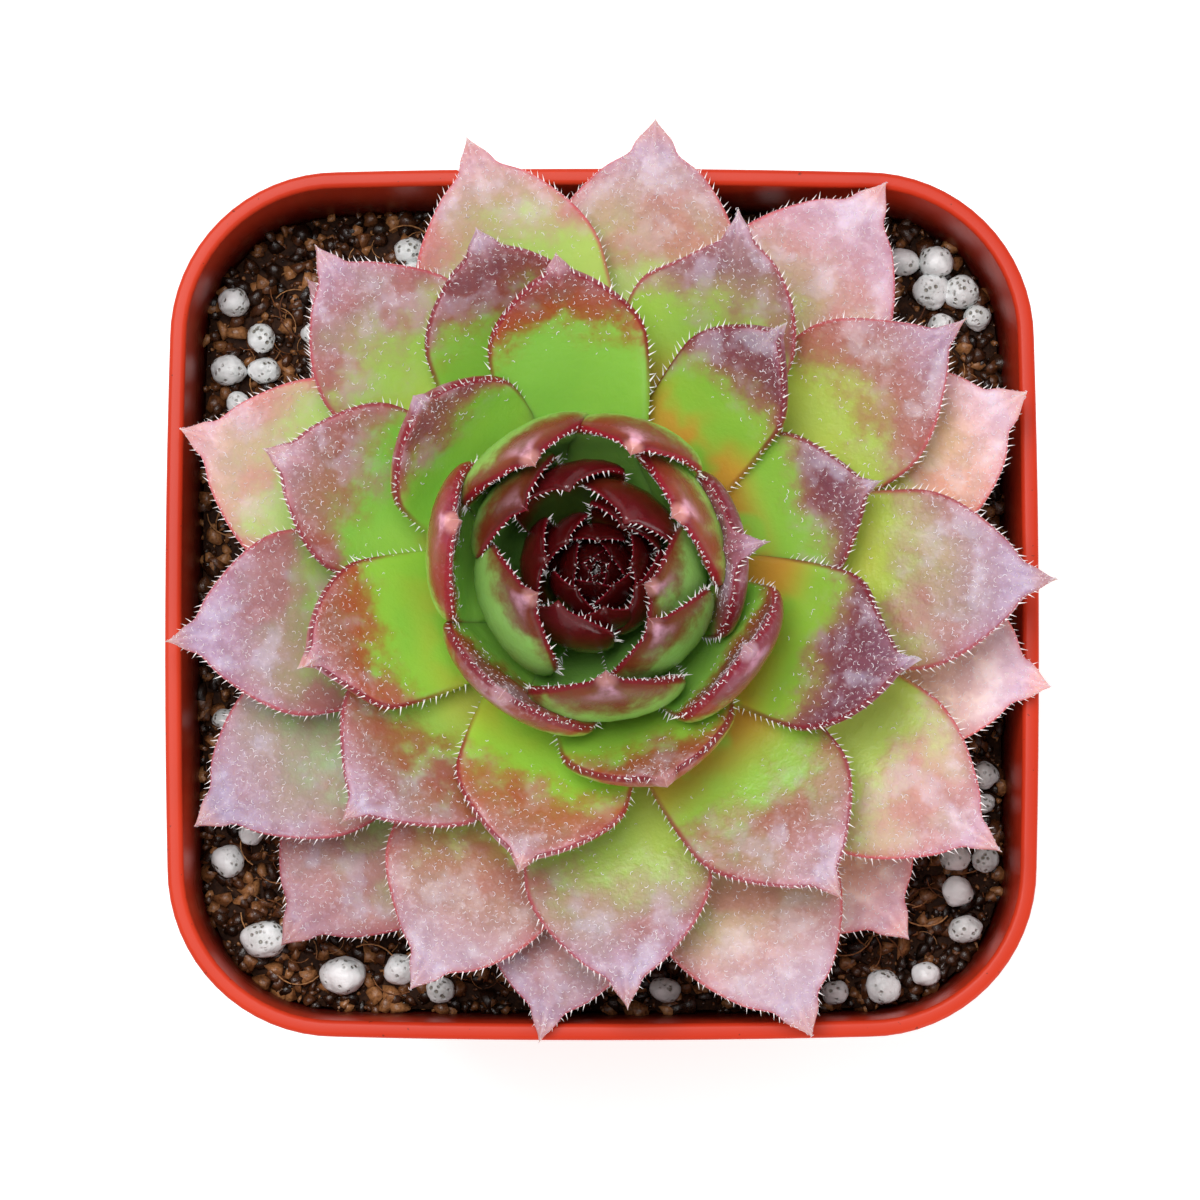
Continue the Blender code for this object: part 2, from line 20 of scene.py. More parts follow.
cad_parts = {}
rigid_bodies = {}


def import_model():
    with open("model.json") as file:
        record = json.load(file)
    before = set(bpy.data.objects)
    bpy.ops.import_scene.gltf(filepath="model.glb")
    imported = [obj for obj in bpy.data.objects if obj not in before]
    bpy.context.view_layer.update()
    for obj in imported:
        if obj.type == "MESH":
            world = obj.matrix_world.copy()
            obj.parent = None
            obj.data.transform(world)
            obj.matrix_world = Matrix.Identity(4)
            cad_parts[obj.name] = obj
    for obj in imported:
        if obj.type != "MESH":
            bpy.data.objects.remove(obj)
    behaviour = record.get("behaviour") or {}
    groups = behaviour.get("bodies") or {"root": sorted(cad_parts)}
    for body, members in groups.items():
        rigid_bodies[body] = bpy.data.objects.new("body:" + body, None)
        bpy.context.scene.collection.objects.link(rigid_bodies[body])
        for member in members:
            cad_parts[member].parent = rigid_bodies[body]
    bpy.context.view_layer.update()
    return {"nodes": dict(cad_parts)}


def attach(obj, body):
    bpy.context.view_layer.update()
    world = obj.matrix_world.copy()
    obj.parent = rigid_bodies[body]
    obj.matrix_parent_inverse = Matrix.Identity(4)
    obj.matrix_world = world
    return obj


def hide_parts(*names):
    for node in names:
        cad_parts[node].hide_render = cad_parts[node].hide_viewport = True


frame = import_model()
MM = 0.001
print("nodes:", sorted(frame["nodes"]))

# %% [markdown]
# ## Camera
#
# The picture looks almost straight down, tipped a little towards the front, from close by with a long lens.
# A camera looks along its own -Z axis, so turning it by four degrees round X tips its view. The lens
# follows from how many pixels a millimetre takes at the height of the pot's rim.

# %% Camera above the plant
PIXELS_PER_MM = 15.9
PICTURE_PIXELS = 1200
CAMERA_DISTANCE = 380 * MM
CAMERA_TILT = math.radians(4)
AIM = Vector((-0.126, 0.126, 50.0)) * MM

camera_data = bpy.data.cameras.new("camera")
camera_data.sensor_width = 36
camera_data.lens = PIXELS_PER_MM * CAMERA_DISTANCE / MM / PICTURE_PIXELS * camera_data.sensor_width
camera = bpy.data.objects.new("camera", camera_data)
bpy.context.scene.collection.objects.link(camera)
camera.location = AIM + Vector((0, -math.sin(CAMERA_TILT), math.cos(CAMERA_TILT))) * CAMERA_DISTANCE
camera.rotation_euler = (CAMERA_TILT, 0, 0)
bpy.context.scene.camera = camera
print(f"lens {camera_data.lens:.1f} mm")

# %% [markdown]
# ## Small helpers
#
# Colours are easiest to think of as the red, green and blue that a screen shows, from 0 to 255. Blender's
# shaders work with light instead, so one helper turns the first into the second. Another makes a plain
# object from points and faces, with values stored on its points for the shaders to read later.

# %% Colour, object and attribute helpers
def colour(red, green, blue):
    """A screen colour as the linear light that a shader works with."""
    linear = []
    for value in (red, green, blue):
        share = value / 255
        linear.append(share / 12.92 if share <= 0.04045 else ((share + 0.055) / 1.055) ** 2.4)
    return (*linear, 1.0)


def make_object(name, points, faces, values=None, smooth=True):
    """An object with its faces turned outwards. values maps an attribute's name to one number a point."""
    bm = bmesh.new()
    verts = [bm.verts.new(point) for point in points]
    for face in faces:
        bm.faces.new([verts[i] for i in face])
    bmesh.ops.recalc_face_normals(bm, faces=bm.faces)
    mesh = bpy.data.meshes.new(name)
    bm.to_mesh(mesh)
    bm.free()
    for attribute, numbers in (values or {}).items():
        mesh.attributes.new(attribute, "FLOAT", "POINT").data.foreach_set("value", numbers)
    if smooth:
        mesh.shade_smooth()
    obj = bpy.data.objects.new(name, mesh)
    bpy.context.scene.collection.objects.link(obj)
    return obj


def skin(rings, start, first_cap, last_cap):
    """Points and faces through rings of equal length. A cap is a closing point, or None for a flat face."""
    count = len(rings[0])
    points = [point for ring in rings for point in ring]
    faces = []
    for row in range(len(rings) - 1):
        for i in range(count):
            a, b = row * count + i, row * count + (i + 1) % count
            faces.append((a, b, b + count, a + count))
    for row, cap in ((0, first_cap), (len(rings) - 1, last_cap)):
        ring = [row * count + i for i in range(count)]
        if cap is None:
            faces.append(ring)
            continue
        points.append(cap)
        faces += [(ring[i], ring[(i + 1) % count], len(points) - 1) for i in range(count)]
    return points, [tuple(start + i for i in face) for face in faces]


def place(piece, material, slot_name, *nodes):
    """Gives a piece its material, its body and the frame's nodes that it stands for. slot_name is not used.
    """
    piece.data.materials.clear()
    piece.data.materials.append(material)
    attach(piece, "root")
    if nodes:
        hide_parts(*nodes)
    print(piece.name, len(piece.data.polygons), "faces")

# %% [markdown]
# ## Shader helpers
#
# A procedural material is a small network of nodes. Writing one in code is shorter with a helper that adds
# a node and fills its sockets: a value that is itself a socket becomes a link, and any other value is set
# on the socket.

# %% Shader node helpers
class Shader:
    """A material under construction. Each method adds a node and returns its output."""

    def __init__(self, name):
        self.material = bpy.data.materials.new(name)
        self.material.use_nodes = True
        self.nodes = self.material.node_tree.nodes
        self.links = self.material.node_tree.links
        self.principled = self.nodes["Principled BSDF"]

    def fill(self, socket, value):
        if isinstance(value, bpy.types.NodeSocket):
            self.links.new(value, socket)
        else:
            socket.default_value = value

    def node(self, kind, output=0, settings=None, **inputs):
        node = self.nodes.new(kind)
        for key, value in (settings or {}).items():
            setattr(node, key, value)
        for key, value in inputs.items():
            self.fill(node.inputs[key.replace("_", " ")], value)
        return node.outputs[output]

    def place(self):
        return self.node("ShaderNodeTexCoord", "Object")

    def attribute(self, name):
        return self.node("ShaderNodeAttribute", "Fac", {"attribute_name": name})

    def noise(self, scale, detail=3.0, rough=0.5):
        inputs = {"Vector": self.place(), "Scale": scale, "Detail": detail, "Roughness": rough}
        return self.node("ShaderNodeTexNoise", "Fac", **inputs)

    def math(self, operation, first, second=0.0, clamp=False):
        node = self.nodes.new("ShaderNodeMath")
        node.operation = operation
        node.use_clamp = clamp
        self.fill(node.inputs[0], first)
        self.fill(node.inputs[1], second)
        return node.outputs[0]

    def times(self, *factors):
        """The product of any number of values."""
        product = factors[0]
        for factor in factors[1:]:
            product = self.math("MULTIPLY", product, factor)
        return product

    def band(self, value, low, high):
        """0 below low, 1 above high, and an eased step between. With low above high it falls instead."""
        node = self.nodes.new("ShaderNodeMapRange")
        node.interpolation_type = "SMOOTHSTEP"
        self.fill(node.inputs["Value"], value)
        self.fill(node.inputs["From Min"], low)
        self.fill(node.inputs["From Max"], high)
        return node.outputs[0]

    def mix(self, share, first, second, blend="MIX"):
        node = self.nodes.new("ShaderNodeMix")
        node.data_type = "RGBA"
        node.blend_type = blend
        self.fill(node.inputs[0], share)
        self.fill(node.inputs[6], first)
        self.fill(node.inputs[7], second)
        return node.outputs[2]

    def tinted(self, share, tint, factors):
        """A colour with its red, green and blue multiplied by three factors, as far as share says."""
        return self.mix(share, tint, self.mix(1.0, tint, (*factors, 1), "MULTIPLY"))

    def ramp(self, value, stops):
        """A colour for each value, with stops given as (position, colour)."""
        node = self.nodes.new("ShaderNodeValToRGB")
        elements = node.color_ramp.elements
        while len(elements) < len(stops):
            elements.new(1.0)
        for element, (position, tint) in zip(elements, stops):
            element.position = position
            element.color = tint
        self.fill(node.inputs[0], value)
        return node.outputs[0]

    def bump(self, height, strength, distance):
        node = self.nodes.new("ShaderNodeBump")
        node.inputs["Strength"].default_value = strength
        node.inputs["Distance"].default_value = distance
        self.fill(node.inputs["Height"], height)
        return node.outputs[0]

    def finish(self, **inputs):
        for key, value in inputs.items():
            self.fill(self.principled.inputs[key.replace("_", " ")], value)
        return self.material

# %% [markdown]
# ## Geometry Nodes helpers
#
# Hairs, crumbs and fibres are counted in thousands, so they are grown by Geometry Nodes: a tree takes the
# surface or the lines that they grow from and places copies of one small shape. The tree's sizes are named
# inputs. When it has run, the result is kept as a plain mesh, because a copy that exists only inside a
# modifier isn't exported.

# %% Geometry Nodes helpers
FULL_TURN = 6.28


class Tree:
    """A Geometry Nodes tree under construction, with named inputs."""

    def __init__(self, name):
        self.group = bpy.data.node_groups.new(name, "GeometryNodeTree")
        self.group.interface.new_socket("Geometry", in_out="INPUT", socket_type="NodeSocketGeometry")
        self.group.interface.new_socket("Geometry", in_out="OUTPUT", socket_type="NodeSocketGeometry")
        self.entry = self.group.nodes.new("NodeGroupInput")
        self.exit = self.group.nodes.new("NodeGroupOutput")

    def input(self, name, kind="Float"):
        self.group.interface.new_socket(name, in_out="INPUT", socket_type=f"NodeSocket{kind}")
        return self.entry.outputs[name]

    def node(self, kind, output=0, settings=None, inputs=None):
        """Adds a node. inputs maps a socket's name or number to a value or to another node's output."""
        node = self.group.nodes.new(kind)
        for key, value in (settings or {}).items():
            setattr(node, key, value)
        for key, value in (inputs or {}).items():
            if isinstance(value, bpy.types.NodeSocket):
                self.group.links.new(value, node.inputs[key])
            else:
                node.inputs[key].default_value = value
        return node.outputs[output]

    def random(self, low, high, seed):
        settings = {"data_type": "FLOAT"}
        return self.node("FunctionNodeRandomValue", 1, settings, {2: low, 3: high, "Seed": seed})

    def random_vector(self, low, high, seed):
        settings = {"data_type": "FLOAT_VECTOR"}
        return self.node("FunctionNodeRandomValue", 0, settings, {0: low, 1: high, "Seed": seed})

    def named(self, name, kind="FLOAT"):
        return self.node("GeometryNodeInputNamedAttribute", 0, {"data_type": kind}, {"Name": name})

    def number_math(self, operation, first, second):
        return self.node("ShaderNodeMath", 0, {"operation": operation}, {0: first, 1: second})

    def times(self, first, *others):
        for other in others:
            first = self.number_math("MULTIPLY", first, other)
        return first

    def up_facing(self, lowest):
        """1 on faces that look up and lie above a height, and 0 elsewhere."""
        upward = self.node("ShaderNodeSeparateXYZ", 2, None, {0: self.node("GeometryNodeInputNormal")})
        height = self.node("ShaderNodeSeparateXYZ", 2, None, {0: self.node("GeometryNodeInputPosition")})
        higher = self.number_math("GREATER_THAN", height, lowest)
        return self.times(self.number_math("GREATER_THAN", upward, 0.1), higher)

    def shaded_points(self, chosen, density, seed, shade_seed):
        """Points scattered where chosen isn't 0, each with a random number called shade."""
        inputs = {"Mesh": self.entry.outputs[0], "Selection": chosen, "Density": density, "Seed": seed}
        points = self.node("GeometryNodeDistributePointsOnFaces", 0, None, inputs)
        stored = {"Geometry": points, "Name": "shade", "Value": self.random(0.0, 1.0, shade_seed)}
        settings = {"data_type": "FLOAT", "domain": "POINT"}
        return self.node("GeometryNodeStoreNamedAttribute", 0, settings, stored)

    def bent_thread(self, steps, bend, sweep, radius):
        """A thread with three sides and closed ends, along part of a circle whose radius is bend."""
        circle = {"Resolution": steps, "Radius": bend, "Sweep Angle": sweep}
        arc = self.node("GeometryNodeCurveArc", 0, None, circle)
        profile = self.node("GeometryNodeCurvePrimitiveCircle", 0, None, {"Resolution": 3, "Radius": radius})
        inputs = {"Curve": arc, "Profile Curve": profile, "Fill Caps": True}
        return self.node("GeometryNodeCurveToMesh", 0, None, inputs)

    def instances(self, points, shape, turn, size, **more):
        inputs = {"Points": points, "Instance": shape, "Rotation": turn, "Scale": size}
        for name, value in more.items():
            inputs[name.replace("_", " ")] = value
        return self.node("GeometryNodeInstanceOnPoints", 0, None, inputs)

    def close(self, geometry, material):
        """Makes copies real, gives them their material and ends the tree."""
        real = self.node("GeometryNodeRealizeInstances", 0, None, {"Geometry": geometry})
        inputs = {"Geometry": real, "Material": material}
        made = self.node("GeometryNodeSetMaterial", 0, None, inputs)
        self.group.links.new(made, self.exit.inputs[0])


def grow(name, host, tree, **values):
    """Runs a tree on a host object and returns the result as a plain mesh object."""
    modifier = host.modifiers.new(name, "NODES")
    modifier.node_group = tree.group
    for item in tree.group.interface.items_tree:
        if item.in_out == "INPUT" and item.name in values:
            modifier[item.identifier] = values[item.name]
    graph = bpy.context.evaluated_depsgraph_get()
    mesh = bpy.data.meshes.new_from_object(host.evaluated_get(graph))
    host.modifiers.remove(modifier)
    mesh.name = name
    piece = bpy.data.objects.new(name, mesh)
    bpy.context.scene.collection.objects.link(piece)
    return piece

# %% [markdown]
# ## Pot
#
# The pot is one thin moulded shell: a square with round corners that tapers to its base, a thicker collar
# below its rim, and drain holes. A shell like this is a skin drawn through rings, up its outside, over the
# lip and down its inside. The rings follow the same sizes as the solid model, with many more points in the
# corners and a lip that is rounded in small steps, because the camera looks straight at it.

# %% Pot sizes and rings
POT_WIDTH, POT_HEIGHT, POT_CORNER = 54.6 * MM, 50.0 * MM, 10.6 * MM
BASE_WIDTH, BASE_CORNER = 43.0 * MM, 7.5 * MM
POT_BOW = 0.22 * MM
POT_WALL, POT_FLOOR, FOOT_CHAMFER = 0.9 * MM, 1.4 * MM, 0.6 * MM
COLLAR_DEPTH, COLLAR_WALL, COLLAR_DRAFT = 7.0 * MM, 1.25 * MM, 0.25 * MM
LIP_WIDTH, LIP_ROUND = 1.05 * MM, 0.3 * MM
COLLAR_BOTTOM = POT_HEIGHT - COLLAR_DEPTH
CORNER_STEPS, SIDE_STEPS = 16, 10


def rounded_square(half, corner, bow, height):
    """Points round a square with arcs for corners and sides that bow out, anticlockwise from the +X side."""
    points = []
    for quarter in range(4):
        turn = Matrix.Rotation(quarter * math.pi / 2, 3, "Z")
        for step in range(CORNER_STEPS + 1):
            angle = math.pi / 2 * step / CORNER_STEPS
            arc = Vector((math.cos(angle), math.sin(angle), 0)) * corner
            points.append(turn @ (Vector((half - corner, half - corner, 0)) + arc))
        for step in range(1, SIDE_STEPS):
            share = step / SIDE_STEPS
            along = (half - corner) * (1 - 2 * share)
            points.append(turn @ Vector((along, half + bow * 4 * share * (1 - share), 0)))
    return [point + Vector((0, 0, height)) for point in points]


def inside_half_width(height):
    """Half the width inside the pot at a height: nearly upright in the collar, and tapered below it."""
    under_collar = POT_WIDTH / 2 - COLLAR_DRAFT - COLLAR_WALL
    if height > COLLAR_BOTTOM:
        share = (height - COLLAR_BOTTOM) / COLLAR_DEPTH
        return under_collar * (1 - share) + (POT_WIDTH / 2 - LIP_WIDTH) * share
    share = height / COLLAR_BOTTOM
    return (BASE_WIDTH / 2 - POT_WALL) * (1 - share) + under_collar * share


def wall_corner(height):
    share = height / POT_HEIGHT
    return (BASE_CORNER - POT_WALL) * (1 - share) + (POT_CORNER - LIP_WIDTH) * share


def pot_ring(out, height):
    """A ring round the pot at a height, moved out from its inner face."""
    bow = POT_BOW * height / POT_HEIGHT
    return rounded_square(inside_half_width(height) + out, wall_corner(height) + out, bow, height)


def arc_rings(out, height, radius, first, last, steps):
    """Rings along a round edge: its centre's place, its radius and the angles where it starts and ends."""
    rings = []
    for step in range(steps + 1):
        angle = math.radians(first + (last - first) * step / steps)
        rings.append(pot_ring(out + radius * math.cos(angle), height + radius * math.sin(angle)))
    return rings

# %% [markdown]
# The lip's two edges and the edge of the foot are quarter circles, and the collar's lower edge is a short
# slope. The four drain holes and the grooves that lead to them are cut with Boolean modifiers, which are
# then applied, so that the piece ends as a plain mesh.

# %% Pot shell with its drain holes
DRAIN_RADIUS, DRAIN_OFFSET = 2.3 * MM, 10.0 * MM
GROOVE_WIDTH, GROOVE_DEPTH, GROOVE_LENGTH = 2.4 * MM, 0.7 * MM, 24.0 * MM


def pot_skin():
    rings = arc_rings(POT_WALL - FOOT_CHAMFER, FOOT_CHAMFER, FOOT_CHAMFER, -90, 0, 4)
    rings += [pot_ring(POT_WALL, COLLAR_BOTTOM * share) for share in (0.25, 0.5, 0.75)]
    rings += [pot_ring(POT_WALL, COLLAR_BOTTOM - LIP_ROUND)]
    rings += [pot_ring(POT_WALL + (COLLAR_WALL - POT_WALL) * 0.4, COLLAR_BOTTOM)]
    rings += [pot_ring(COLLAR_WALL, COLLAR_BOTTOM + LIP_ROUND)]
    rings += arc_rings(LIP_WIDTH - LIP_ROUND, POT_HEIGHT - LIP_ROUND, LIP_ROUND, 0, 90, 5)
    rings += arc_rings(LIP_ROUND, POT_HEIGHT - LIP_ROUND, LIP_ROUND, 90, 180, 5)
    rings += [pot_ring(0.0, COLLAR_BOTTOM), pot_ring(0.0, COLLAR_BOTTOM * 0.5), pot_ring(0.0, POT_FLOOR)]
    return skin(rings, 0, None, None)


def drain_cutter(quarter):
    """A hole through the floor and its groove out to the corner, as one cutter of two bodies."""
    turn = Matrix.Rotation(math.pi / 4 + quarter * math.pi / 2, 4, "Z")
    reach = DRAIN_OFFSET * math.sqrt(2)
    bm = bmesh.new()
    hole = turn @ Matrix.Translation((reach, 0, 0))
    ends = {"radius1": DRAIN_RADIUS, "radius2": DRAIN_RADIUS, "depth": 4 * POT_FLOOR}
    bmesh.ops.create_cone(bm, cap_ends=True, segments=32, matrix=hole, **ends)
    size = Matrix.Diagonal((GROOVE_LENGTH, GROOVE_WIDTH, 2 * GROOVE_DEPTH, 1))
    groove = turn @ Matrix.Translation((reach + GROOVE_LENGTH / 2, 0, 0)) @ size
    bmesh.ops.create_cube(bm, size=1.0, matrix=groove)
    mesh = bpy.data.meshes.new("drain_cutter")
    bm.to_mesh(mesh)
    bm.free()
    cutter = bpy.data.objects.new("drain_cutter", mesh)
    bpy.context.scene.collection.objects.link(cutter)
    return cutter


def apply_modifiers(obj):
    graph = bpy.context.evaluated_depsgraph_get()
    mesh = bpy.data.meshes.new_from_object(obj.evaluated_get(graph))
    obj.modifiers.clear()
    obj.data = mesh


pot = make_object("square_pot", *pot_skin())
cutters = [drain_cutter(quarter) for quarter in range(4)]
for cutter in cutters:
    modifier = pot.modifiers.new("drain", "BOOLEAN")
    modifier.operation = "DIFFERENCE"
    modifier.solver = "EXACT"
    modifier.use_self = True
    modifier.object = cutter
apply_modifiers(pot)
for cutter in cutters:
    bpy.data.objects.remove(cutter)
pot.data.shade_smooth()
pot.data.set_sharp_from_angle(angle=math.radians(35))
print("pot", [round(side / MM, 1) for side in pot.dimensions])

# %% [markdown]
# The plastic is terracotta orange with a satin skin. Moulded plastic is never quite even: the colour drifts
# a little, the surface carries a very fine grain, and inside, near the mix, it is dusty. Noise read at
# object coordinates gives all three, each at its own scale. The inner wall also carries painted shade, which
# darkens it towards the mix, deep in the pot. Only faces that look inwards take the dust and the painted
# shade, so each point keeps a number called inner, worked out from the direction that it faces.

# %% Terracotta plastic
SHADE_FULL = 42.5 * MM
INWARDS = -0.3


def store_inner(mesh):
    """Keeps on each point whether it looks towards the pot's middle: 1 on the inner faces, 0 on others."""
    inner = []
    for vert in mesh.vertices:
        inner.append(1.0 if vert.normal.xy.dot(vert.co.xy) < INWARDS * vert.co.xy.length else 0.0)
    mesh.attributes.new("inner", "FLOAT", "POINT").data.foreach_set("value", inner)
    print("inner points", int(sum(inner)))


def terracotta_plastic():
    shader = Shader("terracotta_plastic")
    drift = shader.noise(60, 2)
    grain = shader.noise(5200, 2)
    tint = shader.mix(shader.band(drift, 0.3, 0.7), colour(191, 49, 25), colour(201, 58, 32))
    height = shader.node("ShaderNodeSeparateXYZ", "Z", Vector=shader.place())
    inner = shader.attribute("inner")
    # Painted shade: the inner wall darkens to near black towards the mix, deep inside the pot.
    inside = shader.times(shader.band(height, 48.5 * MM, SHADE_FULL), inner)
    tint = shader.mix(shader.times(inside, 0.85), tint, colour(58, 10, 5))
    low = shader.band(height, 47.5 * MM, SHADE_FULL)
    dust = shader.times(low, shader.band(shader.noise(900, 6, 0.65), 0.5, 0.68), inner)
    tint = shader.mix(shader.times(dust, 0.55), tint, colour(92, 62, 44))
    specks = shader.band(shader.noise(2600, 2, 0.4), 0.735, 0.75)
    tint = shader.mix(shader.times(specks, 0.7), tint, colour(96, 34, 22))
    rough = shader.math("ADD", 0.27, shader.times(drift, 0.12))
    rough = shader.math("ADD", rough, shader.times(dust, 0.4))
    return shader.finish(
        Base_Color=tint, Roughness=rough, Normal=shader.bump(grain, 0.12, 0.00002), Specular_IOR_Level=0.16
    )


store_inner(pot.data)
place(pot, terracotta_plastic(), "terracotta_plastic", "pot")

# %% [markdown]
# ## Potting mix
#
# The mix fills the pot. Its body is a plain block with a lumpy top, made from the pot's own rings so that
# it fits. What makes it look like mix is loose stuff on the top, and that comes next.

# %% Body of the mix
GAP, FINE_LUMP, FINE_LUMP_SIZE, FINE_DROP = 0.3 * MM, 0.35 * MM, 1.6 * MM, 0.25 * MM
SOIL_BELOW_RIM, SOIL_RISE, SOIL_RISE_RADIUS = 7.6 * MM, 0.4 * MM, 13.0 * MM
SOIL_LUMP, SOIL_LUMP_SIZE = 0.4 * MM, 5.0 * MM
PLANT = Vector((-0.3 * MM, 1.4 * MM, 0))
SOIL_RINGS = 34


def soil_height(x, y):
    """Height of the mix: level near the wall, with a rise at the plant and low lumps."""
    rise = SOIL_RISE * math.exp(-((x - PLANT.x) ** 2 + (y - PLANT.y) ** 2) / SOIL_RISE_RADIUS**2)
    return POT_HEIGHT - SOIL_BELOW_RIM + rise + SOIL_LUMP * noise.noise(Vector((x, y, 0)) / SOIL_LUMP_SIZE)


def soil_ring(share, outer):
    ring = []
    for point in outer:
        x, y = PLANT.x + (point.x - PLANT.x) * share, PLANT.y + (point.y - PLANT.y) * share
        fine = FINE_LUMP * noise.fractal(Vector((x, y, 0)) / FINE_LUMP_SIZE, 1.0, 2.0, 4)
        ring.append(Vector((x, y, soil_height(x, y) + fine - FINE_DROP)))
    return ring


level = POT_HEIGHT - SOIL_BELOW_RIM
edge = pot_ring(-GAP, level)
rings = [pot_ring(-GAP, POT_FLOOR + GAP), pot_ring(-GAP, level - 2 * SOIL_LUMP)]
rings += [soil_ring(1 - row / SOIL_RINGS, edge) for row in range(SOIL_RINGS)]
middle = Vector((PLANT.x, PLANT.y, soil_height(PLANT.x, PLANT.y)))
mix_body = make_object("mix_body", *skin(rings, 0, None, middle))

# %% [markdown]
# Bark chips, peat crumbs and coir fibres lie on it. Six small chips are made once, as the hull of a few
# random points, and Geometry Nodes scatter them over the top with a random turn, size and shade. Only the
# top takes them, so the tree first picks out the faces that look up, and of those the ring that the leaves
# leave in view.

# %% Crumbs of the mix
CHIPS, CHIP_POINTS = 6, 11
OPEN_FROM, LOWEST_CRUMB = 17 * MM, 1.5 * MM


def chip(number):
    """A small sharp chip about one unit across."""
    draw = random.Random(number)
    bm = bmesh.new()
    for _ in range(CHIP_POINTS):
        direction = Vector((draw.gauss(0, 1), draw.gauss(0, 1), draw.gauss(0, 1))).normalized()
        bm.verts.new(Vector((direction.x * 0.5, direction.y * draw.uniform(0.3, 0.45), direction.z * 0.36)))
    hull = bmesh.ops.convex_hull(bm, input=bm.verts)
    bmesh.ops.delete(bm, geom=hull["geom_interior"], context="VERTS")
    bmesh.ops.recalc_face_normals(bm, faces=bm.faces)
    mesh = bpy.data.meshes.new(f"chip_{number}")
    bm.to_mesh(mesh)
    mesh.shade_smooth()
    bm.free()
    obj = bpy.data.objects.new(mesh.name, mesh)
    chips.objects.link(obj)


chips = bpy.data.collections.new("chips")
bpy.context.scene.collection.children.link(chips)
for number in range(CHIPS):
    chip(number)


def crumb_tree(material):
    tree = Tree("crumbs")
    density, smallest, largest = tree.input("Density"), tree.input("Smallest"), tree.input("Largest")
    seed = tree.input("Seed", "Int")
    position = tree.node("GeometryNodeInputPosition")
    ends = {0: position, 1: (0, 0, level)}
    away = tree.node("ShaderNodeVectorMath", 1, {"operation": "DISTANCE"}, ends)
    in_view = tree.number_math("GREATER_THAN", away, OPEN_FROM)
    chosen = tree.times(tree.up_facing(level - LOWEST_CRUMB), in_view)
    points = tree.shaded_points(chosen, density, seed, 11)
    inputs = {"Collection": chips, "Separate Children": True, "Reset Children": True}
    shapes = tree.node("GeometryNodeCollectionInfo", 0, None, inputs)
    small = tree.number_math("POWER", tree.random(0.0, 1.0, 12), 2.2)
    size = tree.times(small, tree.number_math("SUBTRACT", largest, smallest))
    size = tree.number_math("ADD", size, smallest)
    turn = tree.random_vector((0, 0, 0), (FULL_TURN, FULL_TURN, FULL_TURN), 13)
    which = tree.node("FunctionNodeRandomValue", 2, {"data_type": "INT"}, {4: 0, 5: CHIPS - 1, "Seed": 14})
    scattered = tree.instances(points, shapes, turn, size, Pick_Instance=True, Instance_Index=which)
    tree.close(scattered, material)
    return tree

# %% [markdown]
# The mix is nearly black where it is damp and deep, and the chips run from dark brown to tan. Each chip
# took a random number with it, called shade, and the material turns that number into a colour.

# %% Colours of the mix
def mix_material(name, stops, rough, least, gloss):
    shader = Shader(name)
    shade = shader.math("MAXIMUM", shader.attribute("shade"), least)
    shade = shader.math("ADD", shade, shader.times(shader.noise(2200, 5, 0.6), 0.5))
    tint = shader.ramp(shader.math("SUBTRACT", shade, 0.16, True), stops)
    streak = shader.noise(5200, 4, 0.6)
    tint = shader.tinted(shader.band(streak, 0.35, 0.75), tint, (0.45, 0.4, 0.38))
    return shader.finish(
        Base_Color=tint, Roughness=rough, Normal=shader.bump(streak, 0.6, 0.00008), Specular_IOR_Level=gloss
    )


MIX_STOPS = (
    (0.0, colour(20, 10, 5)),
    (0.35, colour(46, 25, 13)),
    (0.6, colour(84, 48, 26)),
    (0.82, colour(112, 68, 37)),
    (1.0, colour(166, 114, 70)),
)
BODY_STOPS = ((0.0, colour(14, 7, 3)), (0.5, colour(44, 24, 13)), (1.0, colour(104, 66, 38)))
mix_dark = mix_material("mix_body_dark", BODY_STOPS, 0.8, 0.45, 0.2)
crumb_brown = mix_material("crumb_brown", MIX_STOPS, 0.26, 0.0, 0.5)
place(mix_body, mix_dark, "potting_mix", "soil")
crumbs = grow(
    "crumbs", mix_body, crumb_tree(crumb_brown), Density=4.6e6, Smallest=0.3 * MM, Largest=2.1 * MM, Seed=3
)
place(crumbs, crumb_brown, "potting_mix")
for obj in list(chips.objects):
    bpy.data.objects.remove(obj)
bpy.data.collections.remove(chips)

# %% [markdown]
# Coir fibres are thin curved threads that lie across the crumbs. The tree bends a short arc, gives it three
# sides and lays it nearly flat on the mix. A thread lies as far from its point as its circle's radius, so the
# bed that the points come from is drawn in by that much, and no thread reaches the pot's wall.

# %% Fibres of the mix
FIBRE_LONGEST, FIBRE_BEND = 3.4 * MM, 0.6
FIBRE_LIFT, LOWEST_FIBRE = 0.35 * MM, 0.4 * MM


def fibre_tree(material):
    tree = Tree("fibres")
    density, longest, radius = tree.input("Density"), tree.input("Longest"), tree.input("Radius")
    seed = tree.input("Seed", "Int")
    points = tree.shaded_points(tree.up_facing(level - LOWEST_FIBRE), density, seed, 21)
    thread = tree.bent_thread(7, FIBRE_BEND, 1.7, radius)
    turn = tree.random_vector((-0.5, -0.5, 0), (0.5, 0.5, FULL_TURN), 22)
    size = tree.times(tree.random(0.25, 1.0, 23), longest)
    tree.close(tree.instances(points, thread, turn, size), material)
    return tree


